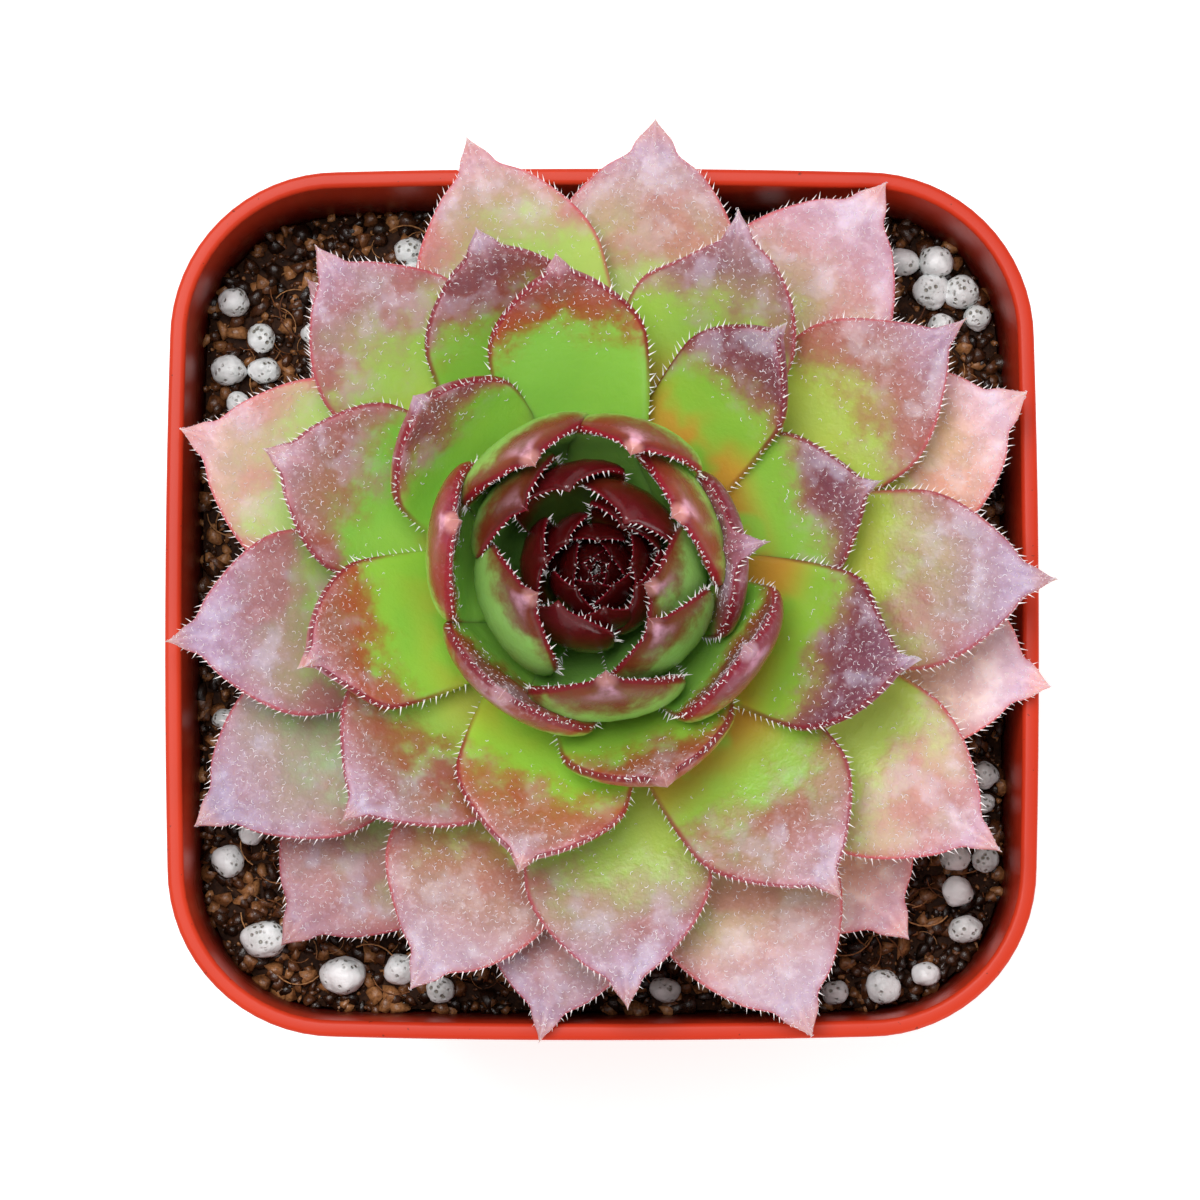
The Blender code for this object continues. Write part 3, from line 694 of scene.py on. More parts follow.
FIBRE_STOPS = ((0.0, colour(80, 42, 20)), (0.5, colour(134, 80, 40)), (1.0, colour(206, 150, 96)))
fibre_brown = mix_material("fibre_brown", FIBRE_STOPS, 0.6, 0.0, 0.3)
bed_share = 1 - FIBRE_BEND * FIBRE_LONGEST / inside_half_width(level)
lifted = mix_body.data.copy()
lifted.transform(Matrix.Diagonal((bed_share, bed_share, 1, 1)))
lifted.transform(Matrix.Translation((0, 0, FIBRE_LIFT)))
lifted_top = bpy.data.objects.new("lifted_top", lifted)
bpy.context.scene.collection.objects.link(lifted_top)
fibres = grow(
    "fibres", lifted_top, fibre_tree(fibre_brown), Density=7.0e5, Longest=FIBRE_LONGEST, Radius=0.017, Seed=5
)
bpy.data.objects.remove(lifted_top)
place(fibres, fibre_brown, "potting_mix")

# %% [markdown]
# Perlite is volcanic glass popped like corn: white, rounded, full of tiny pits. The grains lie where the
# leaves leave the mix in view. Each one is a ball pushed in and out by noise, first in large soft steps and
# then in fine ones. The pits are cell noise in the colour and the bump. The grains are few and close to the
# camera, so their meshes are fine.

# %% Perlite grains
GRAIN_SINK = 0.25
GRAINS_MM = (
    (-23.7, 19.8, 2.0), (-21.9, 17.5, 1.8), (-24.0, 15.4, 2.3), (-21.7, 15.4, 2.1), (-20.6, 13.2, 2.1),
    (-23.4, 13.3, 1.5), (-18.4, 17.8, 1.8), (-12.3, 23.1, 2.1), (-12.1, 21.6, 1.8), (10.9, 25.0, 2.2),
    (19.4, 22.4, 2.2), (22.0, 23.0, 2.3), (21.2, 20.6, 2.3), (23.5, 20.7, 2.4), (21.8, 18.4, 1.7),
    (24.9, 19.1, 1.8), (24.7, -10.6, 1.7), (24.4, -12.4, 1.5), (22.6, -15.9, 2.0), (24.7, -16.0, 1.7),
    (22.7, -18.0, 2.0), (23.4, -20.6, 2.2), (21.0, -23.8, 1.8), (18.1, -24.9, 2.2), (14.9, -25.5, 1.7),
    (4.0, -25.1, 2.0), (-10.3, -24.3, 1.8), (-12.9, -23.0, 2.0), (-16.5, -23.4, 2.9), (-21.5, -21.1, 3.0),
    (-23.9, -16.1, 2.1), (-22.4, -14.3, 1.6), (-24.2, -7.0, 1.6), (-1.2, -24.4, 1.6),
)


def clear_of_wall(x, y, radius):
    """The place nearest to x, y where a grain stays clear of the pot's wall."""
    corner = wall_corner(level)
    straight = inside_half_width(level) - corner
    past = Vector((max(abs(x) - straight, 0), max(abs(y) - straight, 0)))
    most = corner - GAP - radius
    if past.length > most:
        past *= most / past.length
    return math.copysign(min(abs(x), straight) + past.x, x), math.copysign(min(abs(y), straight) + past.y, y)


def grain(number, x_mm, y_mm, across_mm):
    """Points and faces of one popped grain."""
    radius = across_mm * MM / 2
    x, y = clear_of_wall(x_mm * MM, y_mm * MM, radius * 1.1)
    centre = Vector((x, y, soil_height(x, y) + radius * (1 - 2 * GRAIN_SINK)))
    bm = bmesh.new()
    bmesh.ops.create_icosphere(bm, subdivisions=4, radius=1.0)
    shift = Vector((7.1, 3.3, 5.7)) * number
    stretch = Vector((1.0, 0.9 + 0.12 * math.sin(number * 1.7), 0.84 + 0.1 * math.cos(number * 2.3)))
    for vert in bm.verts:
        big = noise.noise(vert.co * 1.1 + shift)
        fine = noise.fractal(vert.co * 3.2 + shift, 1.0, 2.0, 3)
        swell = 1 + 0.16 * big + 0.045 * fine
        vert.co = centre + Vector([a * b for a, b in zip(vert.co * swell, stretch)]) * radius
    points = [vert.co.copy() for vert in bm.verts]
    faces = [tuple(vert.index for vert in face.verts) for face in bm.faces]
    bm.free()
    return points, faces


points, faces = [], []
for number, values in enumerate(GRAINS_MM):
    more_points, more_faces = grain(number, *values)
    faces += [tuple(len(points) + i for i in face) for face in more_faces]
    points += more_points
grains = make_object("perlite_grains", points, faces)


def perlite():
    shader = Shader("perlite")
    cell_inputs = {"Vector": shader.place(), "Scale": 2600, "Randomness": 1.0}
    cells = shader.node("ShaderNodeTexVoronoi", "Distance", **cell_inputs)
    broad = shader.noise(700, 5, 0.6)
    pits = shader.times(shader.band(cells, 0.42, 0.16), shader.band(broad, 0.44, 0.56))
    tint = shader.mix(shader.band(broad, 0.35, 0.7), colour(242, 245, 246), colour(204, 208, 206))
    tint = shader.mix(shader.times(pits, 0.75), tint, colour(104, 94, 66))
    height = shader.math("SUBTRACT", broad, shader.times(pits, 0.8))
    return shader.finish(Base_Color=tint, Roughness=0.4, Normal=shader.bump(height, 0.9, 0.0002))


place(grains, perlite(), "potting_mix")

# %% [markdown]
# ## The rule of the rosette
#
# Each new leaf of a houseleek turns by about 137.5 degrees from the one before, the golden angle, so no
# leaf lies straight above another. The leaves are numbered from the outermost, 0, to the last one in the
# heart. A few curves say how length, height, width, thickness, pitch and cup change with the number. A real
# plant is never so exact, so a table holds where single leaves depart from the rule. These are the solid
# model's own numbers, apart from the heart's, leaf 46 onwards: there the leaves are drawn broader and lean
# further in, and a last entry in each row adds six small leaves that close the middle.

# %% Numbers of the rosette
GOLDEN_ANGLE, FIRST_AZIMUTH = 137.5, 229.0
LEAF_COUNT, FIRST_HEART_LEAF, CLOSING_LEAVES = 62, 46, 6
LEAF_NUMBER = (0, 8, 14, 20, 24, 28, 32, 36, 40, 45, 46, 50, 55, 61, 67)
REACH_MM = (29.5, 29.2, 28.6, 27.6, 23.0, 20.0, 14.5, 9.3, 6.6, 5.2, 4.0, 2.9, 1.7, 0.6, 0.15)
TIP_HEIGHT_MM = (49.2, 52.0, 54.4, 57.0, 58.8, 60.6, 62.8, 64.6, 65.6, 65.2, 63.2, 62.2, 61.0, 60.0, 59.9)
ROOT_HEIGHT_MM = (44.6, 46.2, 47.6, 49.0, 49.9, 50.7, 51.5, 52.2, 52.9, 53.6, 55.6, 56.2, 56.8, 57.4, 57.9)
WIDTH_MM = (10.9, 11.0, 11.2, 11.4, 11.2, 11.0, 10.6, 10.2, 9.8, 8.2, 7.4, 5.8, 3.9, 2.3, 1.4)
THICKNESS_MM = (2.3, 2.4, 2.5, 2.6, 2.6, 2.6, 2.5, 2.3, 2.1, 1.7, 1.3, 1.1, 0.9, 0.8, 0.5)
ROOT_PITCH = (4, 7, 11, 16, 20, 23, 25, 25, 25, 30, 28, 32, 42, 60, 75)
TIP_PITCH = (16, 16, 18, 24, 34, 48, 74, 104, 122, 128, 140, 138, 132, 118, 100)
HANDLE_SHARE = (0.33, 0.33, 0.33, 0.34, 0.35, 0.38, 0.42, 0.48, 0.52, 0.50, 0.52, 0.50, 0.46, 0.40, 0.33)
CUP_RADIUS_MM = (40, 36, 30, 22, 19, 17, 15, 13, 11, 8.0, 6.5, 5.0, 3.4, 1.8, 0.9)
DEPARTURES = {
    0: {"reach": 0.9, "lift": -1.5, "width": 1.15, "point": 0.85},
    1: {"reach": -12.0, "lift": -1.5},
    2: {"turn": -3, "reach": 0.5, "lift": -1.5, "width": 1.2, "point": 0.85},
    3: {"reach": -11.5, "lift": -1.2},
    4: {"turn": 15, "reach": 1.7, "lift": 0.2, "width": 1.12, "point": 0.85},
    5: {"turn": 2.5, "lift": 0.2, "width": 1.08, "hook": -0.6},
    6: {"turn": 10, "reach": -2.8, "lift": -0.8},
    7: {"width": 1.18, "point": 0.85},
    8: {"turn": 2, "reach": 0.4, "width": 1.06, "point": 0.85, "hook": 0.4},
    9: {"turn": 10.5, "lift": 0.1, "width": 1.12, "point": 0.8, "hook": 0.4},
    10: {"turn": 1, "reach": 2.6, "width": 1.1, "point": 0.8},
    11: {"turn": 4, "reach": -1.2, "lift": 0.3, "width": 1.15, "point": 0.95},
    12: {"turn": 2.9, "reach": 0.4, "width": 1.1, "point": 0.8, "hook": 0.7},
    13: {"turn": 6, "reach": -0.5, "width": 1.05, "point": 0.85, "hook": -0.9},
    14: {"turn": 2, "lift": 0.4, "width": 1.08, "point": 0.9, "hook": 0.3},
    15: {"turn": -1, "reach": 2.0, "width": 1.03},
    16: {"reach": -1.2, "lift": 0.5, "width": 1.05},
    17: {"turn": -17.5, "reach": -0.2, "lift": 1.2, "width": 0.97, "point": 1.2, "hook": 0.3},
    18: {"reach": -0.9, "lift": 0.3, "width": 1.04},
    19: {"turn": -4.7, "reach": -1.0, "lift": 0.8, "hook": -0.5},
    20: {"reach": 0.8, "lift": 0.6},
    21: {"turn": 3, "reach": -4.3, "width": 1.04, "point": 1.2},
    22: {"turn": -19, "reach": -1.4, "lift": 0.5, "width": 0.98, "hook": 1.6},
    23: {"reach": 1.0, "lift": 0.8, "width": 1.02, "point": 1.1},
    24: {"turn": -9, "reach": -1.2},
    25: {"turn": -14, "reach": -4.0, "lift": -0.6, "width": 0.92, "point": 1.25},
    26: {"turn": 1.5, "reach": -2.4, "point": 1.1},
    27: {"turn": -7, "reach": 1.4, "lift": -0.6, "width": 1.02, "point": 0.9},
    28: {"turn": 1.5, "reach": 0.3, "lift": 1.0, "width": 0.95, "point": 1.25, "hook": 1.3},
    29: {"turn": -5.5, "reach": 0.4, "width": 0.88, "point": 1.15, "hook": 1.0},
    30: {"turn": -9, "reach": 1.4, "width": 0.76, "point": 1.3, "swerve": -0.8, "roll": -20},
    31: {"turn": 1, "reach": -2.1, "width": 1.06},
    32: {"turn": -8, "reach": 0.3, "swerve": -1.0},
    33: {"turn": -4, "reach": -4.6, "flick": 2.0},
    34: {"reach": -2.2, "width": 1.1},
    35: {"turn": 1, "form": 29, "reach": 0.4, "lift": 1.4, "width": 0.92},
    36: {"turn": 4, "reach": 0.9, "swerve": 1.4},
    37: {"turn": -8, "swerve": -1.6},
    38: {"turn": -13, "reach": -2.6},
    39: {"turn": 8, "reach": -0.6},
    40: {"turn": -6, "reach": 0.3},
    41: {"turn": -8, "reach": -3.2, "lift": -1.0, "width": 0.9, "swerve": -0.5},
    42: {"turn": -6, "reach": -2.0},
    43: {"turn": -4, "reach": 1.0},
    44: {"turn": 13, "reach": -0.9},
    45: {"turn": -18},
    46: {"turn": 32, "reach": -1.1, "lift": 0.3},
    47: {"reach": -0.8, "swerve": -1.3},
    48: {"turn": 2, "reach": 1.2, "lift": 0.8, "width": 1.2},
    49: {"reach": -0.7, "lift": -1.0},
    50: {"turn": -20},
}


def of_leaf(number, values):
    """The value of a rule's curve at a leaf's number."""
    return float(np.interp(number, LEAF_NUMBER, values))

# %% [markdown]
# ## One leaf
#
# A leaf is a skin drawn along a rib. The rib is a smooth curve in the upright plane of the leaf's own
# direction, from the stem to the tip. Across the rib stand lens-shaped sections: flatter above, fuller
# below, with rounded margins that bend up into a shallow cup. Their width swells to broad shoulders and
# then draws out to a point, and a slight neck just before the end leaves a small beak.

# %% Rib and widths of a leaf
ROOT_RADIUS, ROOT_WIDTH_SHARE = 1.2 * MM, 0.40
WIDEST_AT, HOOK_AT, POINT_AT = 0.68, 0.75, 0.9
POINT_ROUNDING, POINT_HOLLOW = 2.0, 1.6
THINNING_AT, THINNING = 0.55, 0.72
NECK_AT, NECK_LENGTH, NECK = 0.925, 0.022, 0.25
UPPER_SHARE, MARGIN_ROUNDING = 0.32, 0.8
RIB_STEPS = 48


def leaf_rib(number):
    """Points along the middle of a leaf, evenly spaced from its root: distance from the axis, and height."""
    departure = DEPARTURES.get(number, {})
    form = departure.get("form", number)
    root = np.array((ROOT_RADIUS, of_leaf(number, ROOT_HEIGHT_MM) * MM))
    reach = of_leaf(form, REACH_MM) + departure.get("reach", 0.0)
    height = of_leaf(form, TIP_HEIGHT_MM) + departure.get("lift", 0.0)
    tip = np.array((reach, height)) * MM
    root_angle = math.radians(of_leaf(form, ROOT_PITCH))
    tip_angle = math.radians(of_leaf(form, TIP_PITCH))
    handle = of_leaf(form, HANDLE_SHARE) * np.linalg.norm(tip - root)
    root_handle = root + handle * np.array((math.cos(root_angle), math.sin(root_angle)))
    tip_handle = tip - handle * np.array((math.cos(tip_angle), math.sin(tip_angle)))
    t = np.linspace(0, 1, RIB_STEPS + 1)[:, None]
    near_root = root * (1 - t) ** 3 + root_handle * 3 * t * (1 - t) ** 2
    curve = near_root + tip_handle * 3 * t**2 * (1 - t) + tip * t**3
    along = np.concatenate(([0], np.cumsum(np.linalg.norm(np.diff(curve, axis=0), axis=1))))
    even = np.linspace(0, along[-1], RIB_STEPS + 1)
    return np.stack([np.interp(even, along, curve[:, 0]), np.interp(even, along, curve[:, 1])], axis=1)


def past_share(along, start):
    """How far a share of a leaf's length is past a start, from 0 there to 1 at the tip."""
    return max(0.0, (along - start) / (1 - start))


def width_share(along, point):
    """A leaf's width at a share of its length: narrow root, broad shoulders, drawn-out point."""
    if along < WIDEST_AT:
        return ROOT_WIDTH_SHARE + (1 - ROOT_WIDTH_SHARE) * math.sin(math.pi / 2 * along / WIDEST_AT)
    return (1 - past_share(along, WIDEST_AT) ** POINT_ROUNDING) ** (POINT_HOLLOW * point) * neck(along)


def neck(along):
    """1 on the blade and on the beak, and less in the hollow between them."""
    return 1 - NECK * math.exp(-(((along - NECK_AT) / NECK_LENGTH) ** 2))


def thickness_share(along):
    """A leaf's thickness at a share of its length: nearly even, thinning over the last third."""
    return 1 - THINNING * past_share(along, THINNING_AT) ** 1.6

# %% [markdown]
# Up close the skin isn't quite smooth. A faint keel runs towards the point on the upper face, and the flesh
# swells a little here and there. Both are small moves of the section's points, added before the section is
# bent into its cup. The function also keeps what later steps need: where on the leaf each point lies, and a
# line of points along each margin with the directions out of the leaf and towards its tip.

# %% Skin of a leaf
KEEL, KEEL_FROM, KEEL_RUN, KEEL_WIDTH = 0.55 * MM, 0.68, 0.2, 0.22
SWELL, SWELL_SIZE, SWELL_FULL_WIDTH = 0.24 * MM, 2.6 * MM, 9 * MM


def section_point(angle, width, thickness, cup, along, seed):
    """One point of a lens-shaped section: how far across the rib and how far above it."""
    c, s = math.cos(angle), math.sin(angle)
    share = math.copysign(abs(c) ** MARGIN_ROUNDING, c)
    across = width / 2 * share
    side = UPPER_SHARE if s > 0 else 1 - UPPER_SHARE
    up = thickness * side * math.copysign(abs(s) ** MARGIN_ROUNDING, s)
    if s > 0:
        near_point = max(0.0, min(1.0, (along - KEEL_FROM) / KEEL_RUN)) * (1 - along) ** 0.3
        up += KEEL * near_point * (math.exp(-((share / KEEL_WIDTH) ** 2)) - 0.35) * s
        swell = noise.noise(Vector((across / SWELL_SIZE, along * 7, seed * 3.7)))
        up += SWELL * s * swell * min(1, width / SWELL_FULL_WIDTH)
    bend = across / cup
    return (cup - up) * math.sin(bend), cup - (cup - up) * math.cos(bend)


def leaf_frame(number):
    """A function that gives the centre and the three directions of a leaf at any share of its length."""
    rib = leaf_rib(number)
    departure = DEPARTURES.get(number, {})
    azimuth = math.radians(FIRST_AZIMUTH - GOLDEN_ANGLE * number + departure.get("turn", 0.0))
    out = Vector((math.cos(azimuth), math.sin(azimuth), 0))
    side = Vector((-math.sin(azimuth), math.cos(azimuth), 0))
    swerve, hook, flick = (departure.get(key, 0.0) * MM for key in ("swerve", "hook", "flick"))
    roll = math.radians(departure.get("roll", 0.0))
    shares = np.linspace(0, 1, RIB_STEPS + 1)

    def point_at(along):
        away = float(np.interp(along, shares, rib[:, 0]))
        away += flick * past_share(along, POINT_AT) ** 1.5
        aside = swerve * along**2 + hook * past_share(along, HOOK_AT) ** 2
        height = float(np.interp(along, shares, rib[:, 1]))
        return PLANT + out * away + side * aside + Vector((0, 0, height))

    def at(along):
        ahead = (point_at(min(1, along + 0.02)) - point_at(max(0, along - 0.02))).normalized()
        across = (Matrix.Rotation(roll * along, 3, ahead) @ side).normalized()
        up = ahead.cross(across).normalized()
        return point_at(along), up.cross(ahead), up, ahead

    return at


def leaf_skin(number, stations, sides):
    """A leaf's rings and tip, the place of each point on the leaf, and its two margin lines."""
    form = DEPARTURES.get(number, {}).get("form", number)
    width = of_leaf(form, WIDTH_MM) * MM * DEPARTURES.get(number, {}).get("width", 1.0)
    thickness, cup = of_leaf(form, THICKNESS_MM) * MM, of_leaf(form, CUP_RADIUS_MM) * MM
    point = DEPARTURES.get(number, {}).get("point", 1.0)
    at = leaf_frame(number)
    rings, places, margins = [], [], ([], [])
    for along in stations:
        centre, across, up, ahead = at(along)
        wide, thick = width * width_share(along, point), thickness * thickness_share(along)
        ring = []
        for side in range(sides):
            angle = 2 * math.pi * side / sides
            a, u = section_point(angle, wide, thick, cup, along, number)
            ring.append(centre + across * a + up * u)
            places.append((along, abs(math.cos(angle)), math.sin(angle)))
        rings.append(ring)
        bend = wide / 2 / cup
        for line, place_in_ring, sign in ((margins[0], 0, 1), (margins[1], sides // 2, -1)):
            line.append((ring[place_in_ring], across * sign * math.cos(bend) + up * math.sin(bend), along))
    return rings, at(1.0)[0], places, margins

# %% [markdown]
# ## Blush
#
# Sun turns a houseleek's leaf pink from its point downwards, and a little further down along its margins.
# Where that starts differs from leaf to leaf. So each point gets a number called blush: negative in the
# green part, zero where the colours meet and positive towards the point. The material adds noise to it and
# turns it into colour. A second number, age, runs from 0 at the outermost leaf to 1 in the heart. Four more
# say how bright, warm, deep purple or rusty a single leaf is, because no two leaves on a plant have had the
# same sun. On the leaves of the bud, bright is painted light instead: it lightens them where light falls.

# %% Blush of a point, and the two bodies of leaves
BLUSH_FROM = (0.77, 0.74, 0.77, 0.74, 0.77, 0.78, 0.82, 0.83, 0.87, 0.82, 0.72, 0.5, 0.2, 0.0, 0.0)
BLUSH_SHIFT = {
    2: -0.22, 4: -0.06, 7: -0.18, 9: 0.02, 10: -0.06, 11: 0.075, 12: -0.02, 13: -0.08, 14: 0.045,
    15: 0.03, 16: -0.05, 19: 0.03, 20: -0.03, 22: 0.05, 23: -0.02, 25: 0.02, 27: 0.055, 28: -0.03,
    30: -0.04, 31: 0.04, 32: 0.02, 33: -0.05, 36: -0.07, 37: -0.06, 38: -0.04, 39: -0.04, 40: -0.05,
    43: -0.04,
}
BLUSH_WIDTH, BACK_SHIFT = 0.065, -0.6
# bright: brighter flesh on open leaves; on the bud's leaves it is painted light where light falls on them.
BRIGHT_AND_LIT = {
    0: 0.0, 2: 0.9, 4: 0.75, 5: 0.0, 7: 1.0, 8: 0.0, 9: 0.25, 10: 0.1, 11: 0.6, 12: 0.35, 13: 0.0,
    14: 0.45, 15: 0.4, 16: 0.0, 18: 0.0, 19: 0.3, 20: 0.0, 24: 0.2, 26: 0.3, 29: 0.35, 32: 0.4, 35: 0.5,
    36: 0.4, 37: 1.0, 38: 0.9, 40: 0.5, 41: 0.0, 43: 1.0,
}
DEEP = {
    13: 0.3, 17: 0.2, 19: 0.25, 22: 0.7, 24: 0.3, 25: 1.0, 27: 0.8, 28: 1.0, 30: 0.9, 32: 0.9, 33: 0.7,
    34: 0.4, 35: 0.5, 36: 0.6,
}
RUSTY = {
    13: 0.7, 17: 0.5, 18: 0.3, 21: 1.0, 23: 0.4, 24: 0.5, 26: 0.7, 27: 0.5, 29: 1.0, 31: 0.9, 34: 0.9,
    35: 1.0, 36: 0.8,
}
WARM = {
    2: 1.0, 7: 0.8, 12: 0.5, 15: 0.1, 10: 0.4, 9: 0.3, 13: 0.4, 26: 0.4, 31: 0.2, 17: 0.3, 20: 0.1,
}
LEAF_NUMBERS = ("along", "edge", "upper", "age", "blush", "bright", "warm", "deep", "rusty")


def blush_of(number, along, edge, upper):
    start = of_leaf(number, BLUSH_FROM) + BLUSH_SHIFT.get(number, 0.0)
    down_margin = 0.015 * edge**2 + 0.04 * edge**8
    under = BACK_SHIFT if upper < 0 and number < FIRST_HEART_LEAF else 0.0
    return (along + down_margin - start) / BLUSH_WIDTH + under


def leaf_body(numbers, stations, sides):
    """All the leaves of one node as one mesh, and their margin lines."""
    points, faces, margins = [], [], []
    values = {key: [] for key in LEAF_NUMBERS}
    for number in numbers:
        rings, tip, places, lines = leaf_skin(number, stations, sides)
        root = sum(rings[0], Vector()) / sides
        more, more_faces = skin(rings, len(points), root, tip)
        points += more
        faces += more_faces
        age = number / (LEAF_COUNT - 1)
        bright = BRIGHT_AND_LIT.get(number, 0.12 * random.Random(number).random())
        warm, deep = WARM.get(number, 0.0), DEEP.get(number, 0.0)
        rusty = RUSTY.get(number, 0.15 if number < 37 else 0.5)
        for along, edge, upper in places + [(0.0, 0.0, 0.0), (1.0, 0.0, 0.0)]:
            blush = blush_of(number, along, edge, upper)
            row = (along, edge, upper, age, blush, bright, warm, deep, rusty)
            for key, value in zip(LEAF_NUMBERS, row):
                values[key].append(value)
        margins += [(number, line) for line in lines]
    return points, faces, values, margins


LEAF_STATIONS = [0.025 * i for i in range(32)] + [0.8 + 0.01 * i for i in range(20)] + [0.995]
LEAF_SIDES = 28
rosette_parts = leaf_body(range(FIRST_HEART_LEAF), LEAF_STATIONS, LEAF_SIDES)
HEART_STATIONS, HEART_SIDES = [i / 26 for i in range(26)], 20
heart_parts = leaf_body(range(FIRST_HEART_LEAF, LEAF_COUNT + CLOSING_LEAVES), HEART_STATIONS, HEART_SIDES)
print("points on leaves:", len(rosette_parts[0]), len(heart_parts[0]))

# %% [markdown]
# The stem that holds the leaves is a simple turned shape: a crown under the leaves and a short root stub in
# the mix. The small bud inside the heart is turned in the same way. Both join the mesh of the leaves that
# hide them.

# %% Stem, bud and the two pieces
STEM_PROFILE_MM = (
    (2.6, 54.9), (4.6, 53.6), (5.4, 51.5), (5.0, 49.0), (3.9, 46.6), (3.0, 44.8), (2.6, 40.0), (1.6, 33.6),
    (0.9, 32.2),
)
HEART_PROFILE_MM = ((1.4, 58.4), (2.2, 57.2), (2.0, 56.0), (1.2, 55.6))
TURN_STEPS = 24


def add_turned(parts, profile_mm, top_mm, bottom_mm, age):
    """Adds a turned body to a mesh of leaves."""
    points, faces, values, _ = parts
    rings = []
    for radius, height in profile_mm:
        turns = [2 * math.pi * i / TURN_STEPS for i in range(TURN_STEPS)]
        ring = [Vector((radius * math.cos(a), radius * math.sin(a), height)) for a in turns]
        rings.append([PLANT + point * MM for point in ring])
    caps = [PLANT + Vector((0, 0, height)) * MM for height in (top_mm, bottom_mm)]
    more, more_faces = skin(rings, len(points), *caps)
    points += more
    faces += more_faces
    for key in values:
        values[key] += [{"age": age, "blush": -4.0}.get(key, 0.0)] * len(more)


add_turned(rosette_parts, STEM_PROFILE_MM, 55.2, 32.0, 0.3)
add_turned(heart_parts, HEART_PROFILE_MM, 59.0, 55.6, 1.0)
rosette = make_object("rosette_leaves", *rosette_parts[:3])
heart = make_object("heart_leaves", *heart_parts[:3])

# %% [markdown]
# ## Colour of the leaves
#
# One ramp gives the green of each leaf by its age, another its rose and a third its lilac, and blush chooses
# between them. Noise of three sizes moves blush, for broad clouds, patches and fine grit, so that no border
# between two colours is a plain line. One helper reads all that the colours depend on.

# %% Ramps by age, and what the colours depend on
AGE_STOPS = (0, 8, 12, 16, 20, 24, 28, 32, 36, 41, 45, 46, 49, 61)
GREENS = (
    (176, 192, 130), (156, 184, 130), (164, 190, 110), (146, 180, 90), (150, 182, 80), (124, 176, 70),
    (126, 172, 62), (122, 170, 64), (118, 168, 70), (116, 164, 76), (100, 146, 64), (70, 108, 40),
    (54, 60, 22), (44, 4, 4),
)
ROSES = (
    (180, 126, 124), (178, 126, 124), (194, 140, 136), (170, 112, 112), (166, 108, 102), (154, 90, 74),
    (150, 84, 70), (152, 80, 62), (120, 42, 30), (106, 28, 20), (94, 20, 14), (92, 22, 14), (74, 12, 8),
    (44, 4, 4),
)
LILACS = (
    (172, 134, 148), (172, 152, 176), (200, 174, 190), (178, 150, 176), (180, 156, 180),
    (194, 160, 174), (182, 146, 166), (176, 126, 146), (130, 62, 84), (104, 34, 52), (94, 28, 40),
    (96, 24, 30), (78, 12, 14), (46, 4, 4),
)


def age_ramp(shader, age, colours):
    """A ramp by age, with one colour for each of the leaf numbers in AGE_STOPS."""
    stops = [(number / (LEAF_COUNT - 1), colour(*tint)) for number, tint in zip(AGE_STOPS, colours)]
    return shader.ramp(age, stops)


def leaf_numbers(shader):
    """What a leaf's colours depend on: the numbers kept on its points, and noise of three sizes."""
    leaf = SimpleNamespace(**{name: shader.attribute(name) for name in LEAF_NUMBERS})
    leaf.cloud = shader.noise(230, 2, 0.5)
    leaf.patch = shader.noise(760, 3, 0.55)
    leaf.fine = shader.noise(2900, 4, 0.6)
    for grain, strength in ((leaf.cloud, 3.2), (leaf.patch, 1.8), (leaf.fine, 1.0)):
        drift = shader.times(shader.math("SUBTRACT", grain, 0.5), strength)
        leaf.blush = shader.math("ADD", leaf.blush, drift)
    leaf.back = shader.band(leaf.upper, 0.1, -0.3)
    leaf.young = shader.band(leaf.age, 0.66, 0.5)
    leaf.x = shader.node("ShaderNodeSeparateXYZ", "X", Vector=shader.place())
    return leaf

# %% [markdown]
# The green isn't even. It is yellower on the right. The base of a leaf, shaded by the leaves above, is
# painted
# paler: painted light that stands in for light coming through the flesh. The back of a leaf is painted paler
# too, painted light for the steep backs of the bud's leaves, which get less light. Round the bud some leaves
# turn orange where they leave the stem.

# %% Green of a leaf
def leaf_green(shader, leaf):
    green = age_ramp(shader, leaf.age, GREENS)
    sunny = shader.times(shader.band(leaf.x, -0.014, 0.02), 0.7)
    sunny = shader.math("ADD", sunny, shader.times(shader.band(shader.noise(170, 2), 0.42, 0.66), 0.35))
    green = shader.tinted(shader.times(sunny, leaf.young, 0.9), green, (1.32, 1.08, 0.95))
    # Painted light: the shaded base of each open leaf is lightened, for light coming through the flesh.
    base = shader.times(shader.band(leaf.along, 0.68, 0.4), shader.band(leaf.age, 0.5, 0.36))
    green = shader.tinted(base, green, (1.55, 1.22, 1.45))
    inner_ring = shader.times(shader.band(leaf.age, 0.28, 0.36), shader.band(leaf.age, 0.56, 0.48))
    right_hand = shader.math("ADD", 0.3, shader.times(shader.band(leaf.x, -0.003, 0.006), 0.7))
    near_stem = shader.times(shader.band(leaf.along, 0.62, 0.46), shader.band(leaf.cloud, 0.38, 0.52))
    orange_here = shader.times(near_stem, inner_ring, right_hand, 0.75)
    green = shader.mix(orange_here, green, colour(206, 120, 52))
    # Painted light: the back of each leaf outside the heart is lightened, for the steep backs of the bud.
    painted_back_light = shader.times(leaf.back, shader.band(leaf.age, 0.76, 0.7), 0.7)
    return shader.tinted(painted_back_light, green, (1.45, 1.3, 1.6))

# %% [markdown]
# The pink is rose where it begins and lilac towards the point, and some leaves go deep purple short of the
# point. A pale haze lies over it in clouds, and the flesh is redder near the margin.

